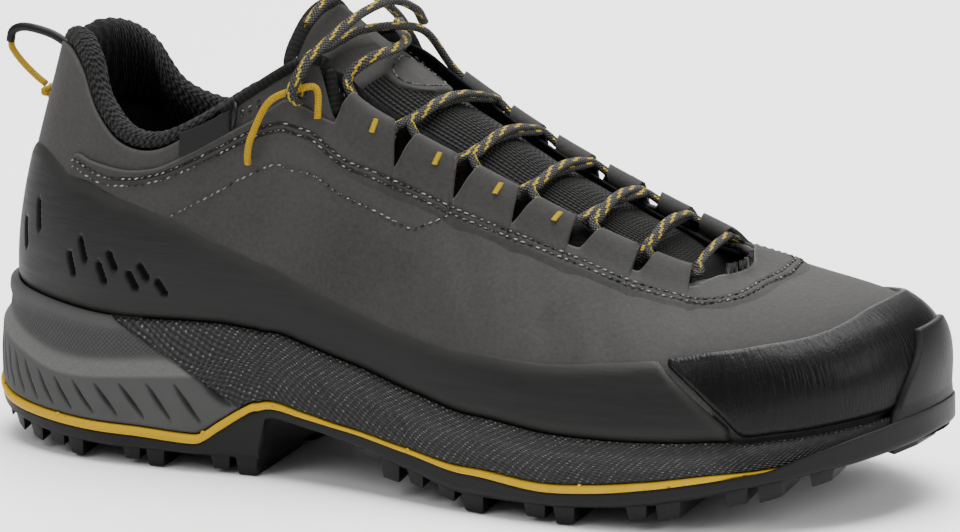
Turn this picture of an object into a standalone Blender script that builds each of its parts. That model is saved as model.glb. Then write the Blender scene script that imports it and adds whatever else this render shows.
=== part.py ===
"""A right approach shoe that stands on its sole. Metres, +Z up, the toe towards +X and the inner side towards +Y."""

import math
from bisect import bisect_right

import bmesh
import bpy
import numpy as np
from mathutils import Matrix, Vector
from mathutils.bvhtree import BVHTree

# Driving dimensions
LENGTH = 0.294
BALL_WIDTH = 0.106
COLLAR_HEIGHT = 0.116
INSTEP_HEIGHT = 0.118
TOE_HEIGHT = 0.062
WALL = 0.0022
CLEARANCE = 0.0003
OVERLAY_LIFT = 0.00048
CAP_LIFT = 0.0008

# Sole layers, measured under the heel, and the lift of the tread at the toe
TOE_SPRING = 0.020
LUG_HEIGHT = 0.0048
OUTSOLE_THICKNESS = 0.0085
TREAD_CHAMFER = 0.0015
LUG_INSET = 0.0012
LUG_TAPER = 0.0007
LUG_SLANT = 0.0040
ACCENT_THICKNESS = 0.0024
ACCENT_PROUD = 0.00025
MIDSOLE_THICKNESS = 0.016
CRADLE_HEIGHT = 0.016
CRADLE_WALL = 0.0022
RIM_INSET = 0.0040
RIM_ROUND = 0.0004
FOOT_TUCK = 0.0012
TOE_WALL = 0.0022
TOE_WALL_HEIGHT = 0.0050
INSOLE_THICKNESS = 0.0040

# Overlays, padding and lace
FILM_THICKNESS = 0.0008
CAP_THICKNESS = 0.0012
FACING_THICKNESS = 0.0014
TAB_RISE = 0.0025
TAB_SIDE = 0.0007
BUMPER_THICKNESS = 0.0016
PAD_THICKNESS = 0.0070
TONGUE_THICKNESS = 0.0034
PATCH_THICKNESS = 0.0009
LABEL_THICKNESS = 0.0008
SLOT_WIDTH = 0.0019
LACE_DIAMETER = 0.0033
LOOP_CORD_DIAMETER = 0.0020
SLEEVE_DIAMETER = 0.0026
PULL_REACH = 0.02025
GROOVE_WIDTH = 0.0010
GROOVE_DEPTH = 0.0011
GROOVE_LEAN = 0.0035

HALF_WIDTH = BALL_WIDTH / 2
ZONE_HEIGHT = {"collar": COLLAR_HEIGHT, "instep": INSTEP_HEIGHT, "toe": TOE_HEIGHT}

# Outline of the sole: place, share of the length, outer and inner side as shares of half the ball width
OUTLINE = [
    ("heel_back", 0.000, 0.019, -0.019),
    ("heel_turn", 0.015, 0.311, 0.264),
    ("heel_corner", 0.061, 0.575, 0.528),
    ("heel_side", 0.143, 0.745, 0.689),
    ("heel_front", 0.245, 0.774, 0.698),
    ("waist", 0.354, 0.764, 0.632),
    ("arch", 0.463, 0.849, 0.623),
    ("ball_back", 0.571, 0.981, 0.755),
    ("ball", 0.687, 1.057, 0.906),
    ("ball_front", 0.789, 1.019, 0.953),
    ("toe_side", 0.881, 0.849, 0.877),
    ("toe_corner", 0.949, 0.566, 0.679),
    ("toe_turn", 0.988, 0.236, 0.406),
    ("toe_tip", 1.000, -0.094, 0.094),
]
ROUND = 2 * (len(OUTLINE) - 1)

# Samples along one side of the outline, in places of the table above, close together at the heel's front edge
SAMPLES = [0, 0.5, 1, 2, 2.5, 3, 3.5, 4, 4.5, 4.92, 5.03, 5.4, 5.6, 6, 6.5, 7, 7.5, 8, 8.5, 9, 9.5]
SAMPLES += [10, 10.5, 11, 11.5, 12, 12.5, 13]
TURN = SAMPLES + [ROUND - s for s in SAMPLES[-2:0:-1]]

# Sole sections: share of the length, tread (of the toe spring), outsole and the part of it that is solid plate
# (of its thickness), accent, midsole, cradle and toe wall (of their own sizes), rim inset, base inset and tuck
SOLE = [
    (0.000, 0.50, 0.47, 0.29, 1.00, 0.73, 1.09, 0.00, 1.10, 0, 1.0),
    (0.051, 0.21, 0.78, 0.33, 1.00, 0.92, 1.05, 0.00, 1.08, 0, 1.0),
    (0.119, 0.04, 1.00, 0.44, 1.00, 0.99, 0.96, 0.00, 1.00, 0, 1.0),
    (0.197, 0.00, 1.00, 0.44, 1.00, 1.00, 0.91, 0.00, 0.90, 0, 1.0),
    (0.276, 0.00, 0.91, 0.34, 1.00, 1.02, 0.98, 0.00, 0.82, 0, 1.0),
    (0.306, 0.00, 1.47, 0.91, 1.00, 0.73, 0.97, 0.00, 0.80, 0, 1.0),
    (0.330, 0.00, 2.00, 1.44, 0.92, 0.45, 0.94, 0.00, 0.78, 0, 1.0),
    (0.346, 0.00, 2.26, 1.70, 0.86, 0.31, 0.92, 0.00, 0.77, 0, 1.0),
    (0.357, 0.05, 2.24, 0.33, 0.83, 0.28, 0.90, 0.00, 0.76, 0, 1.0),
    (0.401, 0.20, 1.75, 0.33, 0.58, 0.31, 0.82, 0.00, 0.75, 0, 1.0),
    (0.449, 0.30, 1.32, 0.38, 0.36, 0.32, 0.75, 0.00, 0.75, 0, 1.0),
    (0.524, 0.21, 1.16, 0.60, 0.42, 0.31, 0.62, 0.00, 0.75, 0, 1.0),
    (0.595, 0.00, 1.27, 0.71, 0.75, 0.29, 0.55, 0.00, 0.75, 0, 1.0),
    (0.680, 0.00, 1.04, 0.47, 0.92, 0.30, 0.49, 0.00, 0.75, 0, 1.0),
    (0.731, 0.05, 1.04, 0.47, 0.92, 0.28, 0.43, 0.00, 0.75, 0, 1.0),
    (0.782, 0.13, 1.08, 0.52, 0.83, 0.26, 0.35, 0.00, 0.74, 0, 1.0),
    (0.837, 0.28, 1.04, 0.47, 0.67, 0.25, 0.26, 0.00, 0.72, 0, 0.8),
    (0.880, 0.42, 0.91, 0.33, 0.25, 0.25, 0.22, 0.05, 0.69, 1, 0.6),
    (0.925, 0.62, 0.71, 0.30, 0.25, 0.19, 0.22, 0.60, 0.66, 1, 0.5),
    (0.969, 0.82, 0.59, 0.30, 0.25, 0.15, 0.19, 0.95, 0.65, 1, 0.4),
    (1.000, 1.00, 0.47, 0.29, 0.25, 0.14, 0.15, 1.00, 0.65, 1, 0.4),
]
SOLE_COLUMNS = ("tread", "outsole", "plate", "accent", "midsole", "cradle", "wall", "inset", "base", "tuck")

# Side of the midsole: share of the length, height of the crease (of the side), and how far it steps in there
SIDE = [
    (0.000, 0.60, 1.0),
    (0.051, 0.49, 1.0),
    (0.119, 0.38, 1.0),
    (0.197, 0.45, 1.0),
    (0.276, 0.52, 0.9),
    (0.350, 0.56, 0.45),
    (0.450, 0.60, 0.35),
    (1.000, 0.60, 0.30),
]

# Upper sections, from the heel round the outer side, the toe and the inner side: place on the outline, height zone,
# top edge (of length, half width, zone height), lower pull (outward, up), upper pull (forward, outward, down)
UPPER = [
    (0, "collar", 0.075, 0.000, 0.978, -0.009, 0.190, -0.024, 0.000, -0.220),
    (1, "collar", 0.082, -0.151, 0.996, 0.006, 0.190, -0.020, -0.075, -0.224),
    (2, "collar", 0.105, -0.283, 0.991, 0.038, 0.172, -0.017, -0.132, -0.207),
    (2.5, "collar", 0.129, -0.396, 0.948, 0.066, 0.155, -0.010, -0.132, -0.181),
    (3, "collar", 0.155, -0.509, 0.858, 0.085, 0.147, -0.003, -0.113, -0.155),
    (3.5, "collar", 0.190, -0.604, 0.797, 0.094, 0.138, 0.000, -0.075, -0.138),
    (4, "collar", 0.231, -0.632, 0.789, 0.094, 0.138, 0.000, -0.066, -0.138),
    (4.5, "collar", 0.276, -0.613, 0.845, 0.094, 0.155, 0.000, -0.075, -0.155),
    (5, "collar", 0.333, -0.557, 0.944, 0.085, 0.172, 0.000, -0.104, -0.190),
    (5.4, "instep", 0.381, -0.472, 1.000, 0.075, 0.186, 0.000, -0.132, -0.203),
    (5.6, "instep", 0.401, -0.425, 0.996, 0.066, 0.195, 0.000, -0.151, -0.203),
    (6, "instep", 0.442, -0.415, 0.907, 0.057, 0.203, 0.000, -0.170, -0.186),
    (6.5, "instep", 0.500, -0.387, 0.831, 0.053, 0.212, 0.000, -0.208, -0.161),
    (7, "instep", 0.558, -0.358, 0.763, 0.047, 0.220, 0.000, -0.245, -0.144),
    (8, "toe", 0.670, -0.302, 1.202, 0.047, 0.403, 0.000, -0.302, -0.145),
    (9, "toe", 0.752, -0.217, 1.040, 0.047, 0.419, 0.017, -0.377, -0.113),
    (10, "toe", 0.776, -0.142, 1.013, 0.075, 0.419, 0.048, -0.415, -0.097),
    (11, "toe", 0.784, -0.075, 1.003, 0.094, 0.419, 0.109, -0.302, -0.081),
    (12, "toe", 0.787, -0.019, 1.000, 0.104, 0.468, 0.143, -0.151, -0.073),
    (13, "toe", 0.789, 0.038, 1.003, 0.104, 0.500, 0.163, 0.057, -0.073),
    (14, "toe", 0.791, 0.104, 1.013, 0.104, 0.484, 0.150, 0.151, -0.073),
    (15, "toe", 0.789, 0.170, 1.032, 0.094, 0.452, 0.109, 0.245, -0.081),
    (16, "toe", 0.779, 0.236, 1.065, 0.075, 0.419, 0.058, 0.340, -0.097),
    (17, "toe", 0.748, 0.292, 1.113, 0.057, 0.419, 0.017, 0.321, -0.097),
    (18, "toe", 0.673, 0.340, 1.242, 0.057, 0.403, 0.000, 0.283, -0.145),
    (19, "instep", 0.565, 0.387, 0.771, 0.075, 0.203, 0.000, 0.245, -0.144),
    (20, "instep", 0.466, 0.415, 0.911, 0.094, 0.186, 0.000, 0.170, -0.186),
    (20.4, "instep", 0.412, 0.434, 1.000, 0.094, 0.186, 0.000, 0.151, -0.203),
    (20.6, "instep", 0.388, 0.472, 1.008, 0.094, 0.178, 0.000, 0.132, -0.203),
    (21, "collar", 0.344, 0.528, 0.948, 0.094, 0.172, 0.000, 0.094, -0.172),
    (21.5, "collar", 0.286, 0.585, 0.841, 0.094, 0.155, 0.000, 0.075, -0.147),
    (22, "collar", 0.231, 0.604, 0.776, 0.094, 0.138, 0.000, 0.066, -0.129),
    (22.5, "collar", 0.194, 0.594, 0.776, 0.094, 0.138, 0.000, 0.075, -0.129),
    (23, "collar", 0.156, 0.528, 0.823, 0.085, 0.138, -0.003, 0.104, -0.147),
    (23.5, "collar", 0.133, 0.425, 0.931, 0.066, 0.155, -0.010, 0.132, -0.181),
    (24, "collar", 0.112, 0.292, 0.987, 0.047, 0.172, -0.017, 0.132, -0.207),
    (25, "collar", 0.087, 0.151, 0.996, 0.019, 0.190, -0.020, 0.075, -0.224),
]

# Rows up the wall: -1 is its lower edge on the midsole, 0 the rim of the cradle, 1 the top edge
FOOT_ROW = -1
WALL_ROWS = [FOOT_ROW, 0, 0.14, 0.31, 0.5, 0.68, 0.86, 1]

# Upper edge of the film overlay: place on the outline, row up the wall
FILM_EDGE = [
    (0.0, 0.575),
    (1.0, 0.600),
    (2.0, 0.620),
    (2.6, 0.610),
    (3.1, 0.680),
    (3.7, 0.700),
    (4.16, 0.610),
    (4.65, 0.420),
    (5.1, 0.300),
    (5.6, 0.230),
    (6.3, 0.220),
    (7.3, 0.250),
    (8.0, 0.290),
    (8.66, 0.345),
    (9.0, 0.370),
    (9.15, 0.300),
    (9.36, 0.200),
    (9.68, 0.070),
    (9.75, 0.045),
]

# Toe cap: place on the outline, lower and upper edge as rows up the wall
CAP_EDGES = [
    (9.10, 0.355, 0.378),
    (9.36, 0.238, 0.400),
    (9.68, 0.093, 0.424),
    (9.90, 0.020, 0.435),
    (10.5, 0.020, 0.463),
    (11.0, 0.020, 0.481),
    (11.6, 0.020, 0.509),
    (12.3, 0.020, 0.545),
    (13.0, 0.020, 0.557),
]

# Facing that carries the lace tabs: place on the outline, lower and upper edge as rows up the wall
FACING_BACK = [
    (2.66, 0.640, 0.655),
    (2.80, 0.660, 0.735),
    (3.00, 0.685, 0.768),
    (3.50, 0.745, 0.853),
    (4.00, 0.790, 0.893),
    (4.50, 0.782, 0.897),
    (5.03, 0.758, 0.880),
    (5.28, 0.740, 0.890),
    (5.40, 0.700, 0.850),
    (5.60, 0.665, 0.818),
    (5.80, 0.670, 0.840),
]
FACING_FRONT = [
    (9.75, 0.700, 0.915),
    (10.0, 0.700, 0.940),
    (10.5, 0.740, 0.970),
    (11.0, 0.780, 0.975),
    (11.5, 0.810, 0.975),
    (12.0, 0.830, 0.975),
    (12.5, 0.845, 0.975),
    (13.0, 0.850, 0.975),
]

# Lace tabs on the outer side, from the ankle to the toe: first and last place on the outline, row of the notch after
TABS_OUTER = [
    (5.91, 6.28, 0.821),
    (6.48, 6.81, 0.825),
    (7.02, 7.33, 0.839),
    (7.54, 7.83, 0.860),
    (8.14, 8.47, 0.870),
    (8.74, 9.28, 0.900),
]
TABS_INNER = [
    (6.04, 6.36, 0.821),
    (6.56, 6.86, 0.825),
    (7.07, 7.37, 0.839),
    (7.58, 7.87, 0.860),
    (8.16, 8.49, 0.870),
    (8.76, 9.30, 0.900),
]
TAB_BASE_LIFT = 0.35
TAB_TOP_ROW = 1.03

# Vent slots in the film: place on the outline, upper and lower end as rows up the wall
SLOTS = [
    (0.95, 0.46, 0.34),
    (2.20, 0.42, 0.31),
    (3.06, 0.39, 0.29),
    (3.45, 0.38, 0.29),
    (3.81, 0.335, 0.255),
    (1.80, 0.31, 0.20),
    (2.88, 0.29, 0.19),
    (3.31, 0.30, 0.20),
    (3.67, 0.285, 0.19),
    (3.98, 0.245, 0.165),
]

# Edge lugs: first and last place (of the length), share of the half width left free at the middle, lift off the tread
EDGE_LUGS = [
    (0.018, 0.034, 0.10, 0.0000),
    (0.042, 0.062, 0.28, 0.0000),
    (0.071, 0.092, 0.36, 0.0004),
    (0.101, 0.123, 0.52, 0.0016),
    (0.127, 0.148, 0.30, 0.0000),
    (0.194, 0.215, 0.52, 0.0014),
    (0.220, 0.242, 0.30, 0.0000),
    (0.292, 0.314, 0.52, 0.0010),
    (0.319, 0.344, 0.06, 0.0000),
    (0.487, 0.512, 0.58, 0.0000),
    (0.520, 0.541, 0.66, 0.0010),
    (0.556, 0.578, 0.66, 0.0015),
    (0.585, 0.611, 0.48, 0.0000),
    (0.655, 0.680, 0.66, 0.0012),
    (0.687, 0.711, 0.48, 0.0000),
    (0.762, 0.784, 0.66, 0.0010),
    (0.791, 0.816, 0.46, 0.0000),
    (0.855, 0.876, 0.62, 0.0008),
    (0.883, 0.905, 0.42, 0.0000),
    (0.925, 0.944, 0.36, 0.0000),
]

# Middle lugs: place and side offset, then the lug's own half length and half width, of the length and half width
MIDDLE_LUGS = [
    (0.075, 0.00, 0.0187, 0.189),
    (0.170, 0.00, 0.0204, 0.236),
    (0.262, 0.00, 0.0204, 0.236),
    (0.530, -0.25, 0.0204, 0.123),
    (0.530, 0.20, 0.0204, 0.123),
    (0.600, 0.00, 0.0238, 0.151),
    (0.645, -0.32, 0.0204, 0.123),
    (0.645, 0.28, 0.0204, 0.123),
    (0.710, 0.00, 0.0238, 0.151),
    (0.752, -0.32, 0.0204, 0.123),
    (0.752, 0.30, 0.0204, 0.123),
    (0.815, 0.02, 0.0238, 0.151),
    (0.860, -0.22, 0.0187, 0.113),
    (0.860, 0.26, 0.0187, 0.113),
    (0.920, 0.06, 0.0187, 0.160),
    (0.968, 0.08, 0.0153, 0.245),
]

# Middle line of the tongue: share of the length, height (of the instep), edge places on the outline or free half widths
TONGUE_UNDER = [
    (0.816, 0.483, 0.170, 0.190),
    (0.779, 0.497, 0.190, 0.210),
]
TONGUE_THROAT = [
    (0.751, 0.533, 9.0),
    (0.713, 0.585, 8.5),
    (0.670, 0.640, 8.0),
    (0.616, 0.708, 7.5),
    (0.561, 0.784, 7.0),
    (0.508, 0.856, 6.5),
    (0.462, 0.925, 6.0),
    (0.425, 0.990, 5.6),
]
TONGUE_TOP = [
    (0.397, 1.045, 0.400, 0.400, 0.085, 0.010),
    (0.379, 1.085, 0.410, 0.400, 0.125, 0.014),
    (0.368, 1.106, 0.380, 0.370, 0.115, 0.012),
]


def smooth(rows, column, at):
    """Reads a column of a table at a place between its rows, with no overshoot."""
    places = [row[0] for row in rows]
    values = [row[column] for row in rows]
    if at <= places[0]:
        return values[0]
    if at >= places[-1]:
        return values[-1]
    i = bisect_right(places, at) - 1
    slopes = [(values[k + 1] - values[k]) / (places[k + 1] - places[k]) for k in range(len(rows) - 1)]

    def tangent(k):
        if k == 0 or k == len(rows) - 1:
            return slopes[min(k, len(slopes) - 1)]
        before, after = slopes[k - 1], slopes[k]
        return 0 if before * after <= 0 else 2 * before * after / (before + after)

    step = places[i + 1] - places[i]
    f = (at - places[i]) / step
    return (
        (2 * f**3 - 3 * f**2 + 1) * values[i]
        + (f**3 - 2 * f**2 + f) * step * tangent(i)
        + (3 * f**2 - 2 * f**3) * values[i + 1]
        + (f**3 - f**2) * step * tangent(i + 1)
    )


def round_trip(places, rows, at):
    """Reads rows of numbers at a place on a closed loop, as one smooth curve."""
    at = at % ROUND
    places = [places[-1] - ROUND] + list(places) + [places[0] + ROUND, places[1] + ROUND]
    rows = np.vstack([rows[-1:], rows, rows[:2]])
    i = bisect_right(places, at) - 1
    i = min(max(i, 1), len(places) - 3)
    step = places[i + 1] - places[i]
    f = (at - places[i]) / step
    start = (rows[i + 1] - rows[i - 1]) / (places[i + 1] - places[i - 1]) * step
    end = (rows[i + 2] - rows[i]) / (places[i + 2] - places[i]) * step
    return (
        (2 * f**3 - 3 * f**2 + 1) * rows[i]
        + (f**3 - 2 * f**2 + f) * start
        + (3 * f**2 - 2 * f**3) * rows[i + 1]
        + (f**3 - f**2) * end
    )


OUTLINE_POINTS = np.array(
    [(x * LENGTH, -outer * HALF_WIDTH) for _, x, outer, _ in OUTLINE]
    + [(x * LENGTH, inner * HALF_WIDTH) for _, x, _, inner in OUTLINE[-2:0:-1]]
)


def outline(place, offset=0.0):
    """A point of the sole's outline, moved outwards, and the outward direction there."""
    at = round_trip(range(ROUND), OUTLINE_POINTS, place)
    ahead = round_trip(range(ROUND), OUTLINE_POINTS, place + 0.01)
    behind = round_trip(range(ROUND), OUTLINE_POINTS, place - 0.01)
    along = (ahead - behind) / np.linalg.norm(ahead - behind)
    outward = np.array([along[1], -along[0]])
    return at + outward * offset, outward


def sole(x):
    """Heights and insets of the sole's layers at a distance from the heel, in metres."""
    share = {name: smooth(SOLE, k + 1, x / LENGTH) for k, name in enumerate(SOLE_COLUMNS)}
    tread = share["tread"] * TOE_SPRING
    floor = tread + share["outsole"] * OUTSOLE_THICKNESS
    accent = floor + CLEARANCE * 2
    midsole = accent + share["accent"] * ACCENT_THICKNESS + CLEARANCE
    footbed = midsole + share["midsole"] * MIDSOLE_THICKNESS
    inset = share["inset"] * RIM_INSET
    return {
        "tread": tread,
        "plate": floor - share["plate"] * OUTSOLE_THICKNESS,
        "floor": floor,
        "edge": floor + CLEARANCE + share["wall"] * TOE_WALL_HEIGHT,
        "accent": accent,
        "accent_top": midsole - CLEARANCE,
        "midsole": midsole,
        "footbed": footbed,
        "rim": footbed + share["cradle"] * CRADLE_HEIGHT,
        "inset": inset,
        "rim_in": inset + CRADLE_WALL,
        "foot_in": inset + CRADLE_WALL + share["tuck"] * FOOT_TUCK,
        "base": share["base"] * (TOE_WALL + CLEARANCE),
        "crease": smooth(SIDE, 1, x / LENGTH),
        "step": smooth(SIDE, 2, x / LENGTH),
    }


def on_sole(place, offset_of, height_of):
    """A point of a sole layer. Both functions take the sole's heights, at the outline and at the point itself."""
    (x, y), _ = outline(place, offset_of(sole(outline(place)[0][0])))
    return np.array([x, y, height_of(sole(x))])


UPPER_PLACES = [row[0] for row in UPPER]
UPPER_ROWS = np.array(
    [
        (
            x * LENGTH,
            y * HALF_WIDTH,
            z * ZONE_HEIGHT[zone],
            out * HALF_WIDTH,
            up * ZONE_HEIGHT[zone],
            forward * LENGTH,
            side * HALF_WIDTH,
            down * ZONE_HEIGHT[zone],
        )
        for _, zone, x, y, z, out, up, forward, side, down in UPPER
    ]
)


def wall_point(place, row):
    """A point of the upper's outer face on its smooth form."""
    _, outward = outline(place)
    rim = on_sole(place, lambda s: -s["rim_in"] - CLEARANCE, lambda s: s["rim"])
    if row <= 0:
        foot = on_sole(place, lambda s: -s["foot_in"] - CLEARANCE, lambda s: s["footbed"] + CLEARANCE)
        return rim + (foot - rim) * -row
    top_x, top_y, top_z, out, up, forward, side, down = round_trip(UPPER_PLACES, UPPER_ROWS, place)
    top = np.array([top_x, top_y, top_z])
    low = rim + np.array([outward[0] * out, outward[1] * out, up])
    high = top + np.array([forward, side, down])
    if row > 1:
        return top + (top - high) * 3 * (row - 1)
    rest = 1 - row
    return rim * rest**3 + low * 3 * row * rest**2 + high * 3 * row**2 * rest + top * row**3


def wall_grid():
    """The upper's outer face and its normals at every sample, as the solid has them."""
    points = np.array([[wall_point(place, row) for row in WALL_ROWS] for place in TURN])
    along = np.roll(points, -1, axis=0) - np.roll(points, 1, axis=0)
    up = np.gradient(points, axis=1)
    normals = np.cross(along, up)
    return points, normals / np.linalg.norm(normals, axis=2, keepdims=True)


GRID, NORMALS = wall_grid()


def skin(place, row, lift=0.0):
    """A point on the upper's faceted face, lifted along its normal."""
    place = place % ROUND
    i = bisect_right(TURN, place) - 1
    after = TURN[i + 1] if i + 1 < len(TURN) else ROUND
    f = (place - TURN[i]) / (after - TURN[i])
    j = min(max(bisect_right(WALL_ROWS, row) - 1, 0), len(WALL_ROWS) - 2)
    g = (row - WALL_ROWS[j]) / (WALL_ROWS[j + 1] - WALL_ROWS[j])
    n = (i + 1) % len(TURN)

    def mixed(grid):
        low = grid[i, j] * (1 - f) + grid[n, j] * f
        high = grid[i, j + 1] * (1 - f) + grid[n, j + 1] * f
        return low * (1 - g) + high * g

    normal = mixed(NORMALS)
    return mixed(GRID) + normal / np.linalg.norm(normal) * lift


def clear_scene():
    for piece in list(bpy.data.objects):
        bpy.data.objects.remove(piece)


def finish(name, colour, roughness, coat=0.0):
    """A Principled material with one colour."""
    made = bpy.data.materials.new(name)
    made.use_nodes = True
    shader = made.node_tree.nodes["Principled BSDF"]
    shader.inputs["Base Color"].default_value = (*colour, 1)
    shader.inputs["Roughness"].default_value = roughness
    shader.inputs["Coat Weight"].default_value = coat
    made.diffuse_color = (*colour, 1)
    return made


def add_piece(name, points, faces, material, closed=True):
    """An object made of faces. A closed one has them turned outwards."""
    mesh = bpy.data.meshes.new(name)
    mesh.from_pydata([tuple(float(c) for c in p) for p in points], [], faces)
    mesh.materials.append(material)
    if closed:
        work = bmesh.new()
        work.from_mesh(mesh)
        bmesh.ops.recalc_face_normals(work, faces=work.faces)
        work.to_mesh(mesh)
        work.free()
    piece = bpy.data.objects.new(name, mesh)
    SHOE.objects.link(piece)
    return piece


def add_solidify(piece, thickness, offset):
    shell = piece.modifiers.new("Wall", "SOLIDIFY")
    shell.thickness = thickness
    shell.offset = offset
    shell.use_even_offset = False


def baked(piece):
    """Replaces an object's mesh by its evaluated one and clears its modifiers."""
    graph = bpy.context.evaluated_depsgraph_get()
    mesh = bpy.data.meshes.new_from_object(piece.evaluated_get(graph))
    piece.modifiers.clear()
    piece.data = mesh
    return piece


def boolean(piece, other, operation, crossing=False):
    """Joins or cuts one mesh with another, whose own parts may cross, and which stays as a hidden helper."""
    other.hide_render = True
    other.display_type = "WIRE"
    for collection in other.users_collection:
        collection.objects.unlink(other)
    CUTTERS.objects.link(other)
    change = piece.modifiers.new(operation.title(), "BOOLEAN")
    change.operation = operation
    change.solver = "EXACT"
    change.use_self = crossing
    change.object = other


def grid_faces(columns, rows, close_columns=False, close_rows=False):
    """Quads over points that are listed column by column."""
    faces = []
    for i in range(columns if close_columns else columns - 1):
        for j in range(rows if close_rows else rows - 1):
            a = i * rows + j
            b = i * rows + (j + 1) % rows
            c = ((i + 1) % columns) * rows + (j + 1) % rows
            d = ((i + 1) % columns) * rows + j
            faces.append((a, d, c, b))
    return faces


def ladder_faces(start, count):
    """Fills a ring of the sole with rungs from its outer to its inner side."""
    half = count // 2
    faces = [(start, start + 1, start + count - 1)]
    for i in range(1, half - 1):
        faces.append((start + i, start + i + 1, start + count - i - 1, start + count - i))
    faces.append((start + half - 1, start + half, start + half + 1))
    return faces


def ring(offset_of, height_of):
    """A ring of points round a sole layer."""
    return [on_sole(place, offset_of, height_of) for place in TURN]


def stack(name, rings, material):
    """A closed solid through rings, filled across at the first and the last."""
    count = len(TURN)
    points = [p for level in rings for p in level]
    faces = []
    for k in range(len(rings) - 1):
        for i in range(count):
            a, b = k * count + i, k * count + (i + 1) % count
            faces.append((a, b, b + count, a + count))
    faces += ladder_faces(0, count)
    faces += ladder_faces((len(rings) - 1) * count, count)
    return add_piece(name, points, faces, material)


def loft(name, sections, material):
    """A closed solid through sections with equal numbers of points, capped at both ends."""
    count = len(sections[0])
    points = [p for section in sections for p in section]
    faces = grid_faces(len(sections), count, close_rows=True)
    faces.append(tuple(range(count)))
    faces.append(tuple(len(points) - count + i for i in range(count)))
    return add_piece(name, points, faces, material)


def prisms(name, solids, material):
    """Closed prisms in one mesh, each given as its lower and its upper loop of points."""
    points, faces = [], []
    for low, high in solids:
        start, count = len(points), len(low)
        points += list(low) + list(high)
        faces.append(tuple(start + i for i in range(count)))
        faces.append(tuple(start + count + i for i in range(count)))
        for i in range(count):
            n = (i + 1) % count
            faces.append((start + i, start + n, start + count + n, start + count + i))
    return add_piece(name, points, faces, material)


def place_at(x, outer_side):
    """The place on the outline at a distance from the heel."""
    low, high = 0.0, ROUND / 2
    for _ in range(30):
        middle = (low + high) / 2
        if outline(middle)[0][0] < x:
            low = middle
        else:
            high = middle
    return low if outer_side else ROUND - low


def lug_solids():
    """The lugs: blocks on both edges, whose outer faces follow the outline, and blocks along the middle."""
    sunk = LUG_HEIGHT * 0.25
    found = []
    for outer_side in (True, False):
        sign = -1 if outer_side else 1
        for first, last, free, lift in EDGE_LUGS:
            corners = []
            for share, shift in ((first, LUG_TAPER), (last, -LUG_TAPER)):
                place = place_at(share * LENGTH, outer_side)
                (x, y), _ = outline(place, -LUG_INSET)
                (low_x, low_y), _ = outline(place, -LUG_INSET - LUG_TAPER)
                reach = abs(outline(place)[0][1])
                inner_y = sign * free * min(reach, HALF_WIDTH * 0.75)
                back = LUG_SLANT * min(1.0, abs(y - inner_y) / HALF_WIDTH * 2.6)
                corners.append(
                    (
                        (low_x + shift, low_y),
                        (low_x + shift - back, inner_y + sign * LUG_TAPER),
                        (x, y),
                        (x - back, inner_y),
                    )
                )
            (a, b, a_top, b_top), (d, c, d_top, c_top) = corners
            low = [(x, y, sole(x)["tread"] + lift) for x, y in (a, b, c, d)]
            high = [(x, y, sole(x)["plate"] + sunk) for x, y in (a_top, b_top, c_top, d_top)]
            found.append((low, high))
    for share, side, long, wide in MIDDLE_LUGS:
        x, y = share * LENGTH, side * HALF_WIDTH
        half_length, half_width = long * LENGTH, wide * HALF_WIDTH
        shape = [
            (-half_length, -half_width * 0.5),
            (-half_length, half_width * 0.5),
            (0, half_width),
            (half_length, half_width * 0.5),
            (half_length, -half_width * 0.5),
            (0, -half_width),
        ]
        low = [(x + dx, y + dy, sole(x + dx)["tread"]) for dx, dy in shape]
        high = [(x + dx * 1.1, y + dy * 1.1, sole(x + dx * 1.1)["plate"] + sunk) for dx, dy in shape]
        found.append((low, high))
    return found


def make_outsole():
    plate = stack(
        "outsole",
        [
            ring(lambda s: -TREAD_CHAMFER, lambda s: s["plate"]),
            ring(lambda s: 0.0, lambda s: s["edge"]),
            ring(lambda s: -TOE_WALL, lambda s: s["edge"]),
            ring(lambda s: -TOE_WALL, lambda s: s["floor"]),
        ],
        RUBBER,
    )
    lugs = prisms("lug_blocks", lug_solids(), RUBBER)
    boolean(plate, lugs, "UNION", crossing=True)
    boolean(plate, make_bumper(), "UNION")
    return plate


def make_bumper():
    """The rubber tab that rises from the outsole over the toe cap."""
    over_cap = CAP_LIFT + CAP_THICKNESS + CLEARANCE * 2
    rooted = TOE_WALL * 0.85
    rows = [
        (0.10, 12.0, 14.4, over_cap + CLEARANCE * 2),
        (0.20, 12.3, 14.1, over_cap + CLEARANCE),
        (0.30, 12.6, 13.8, over_cap + CLEARANCE),
    ]
    columns = 5
    points = []
    for k in range(columns):
        share = k / (columns - 1)
        (x, y), _ = outline(11.9 + 2.7 * share, -rooted)
        edge = sole(outline(11.9 + 2.7 * share)[0][0])["edge"]
        points += [(x, y, edge - TOE_WALL_HEIGHT * 0.4), (x, y, edge + CLEARANCE)]
        for row, first, last, lift in rows:
            points.append(skin(first + (last - first) * share, row, lift))
    faces = grid_faces(columns, len(rows) + 2)
    bumper = add_piece("bumper_tab", points, faces, RUBBER, closed=False)
    add_solidify(bumper, BUMPER_THICKNESS, 1)
    return baked(bumper)


def make_accent():
    return stack(
        "accent_layer",
        [
            ring(lambda s: ACCENT_PROUD - s["base"], lambda s: s["accent"]),
            ring(lambda s: ACCENT_PROUD - s["base"], lambda s: s["accent_top"]),
        ],
        YELLOW_RUBBER,
    )


def side_height(s, share):
    return s["midsole"] + (s["rim"] - s["midsole"]) * share


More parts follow.
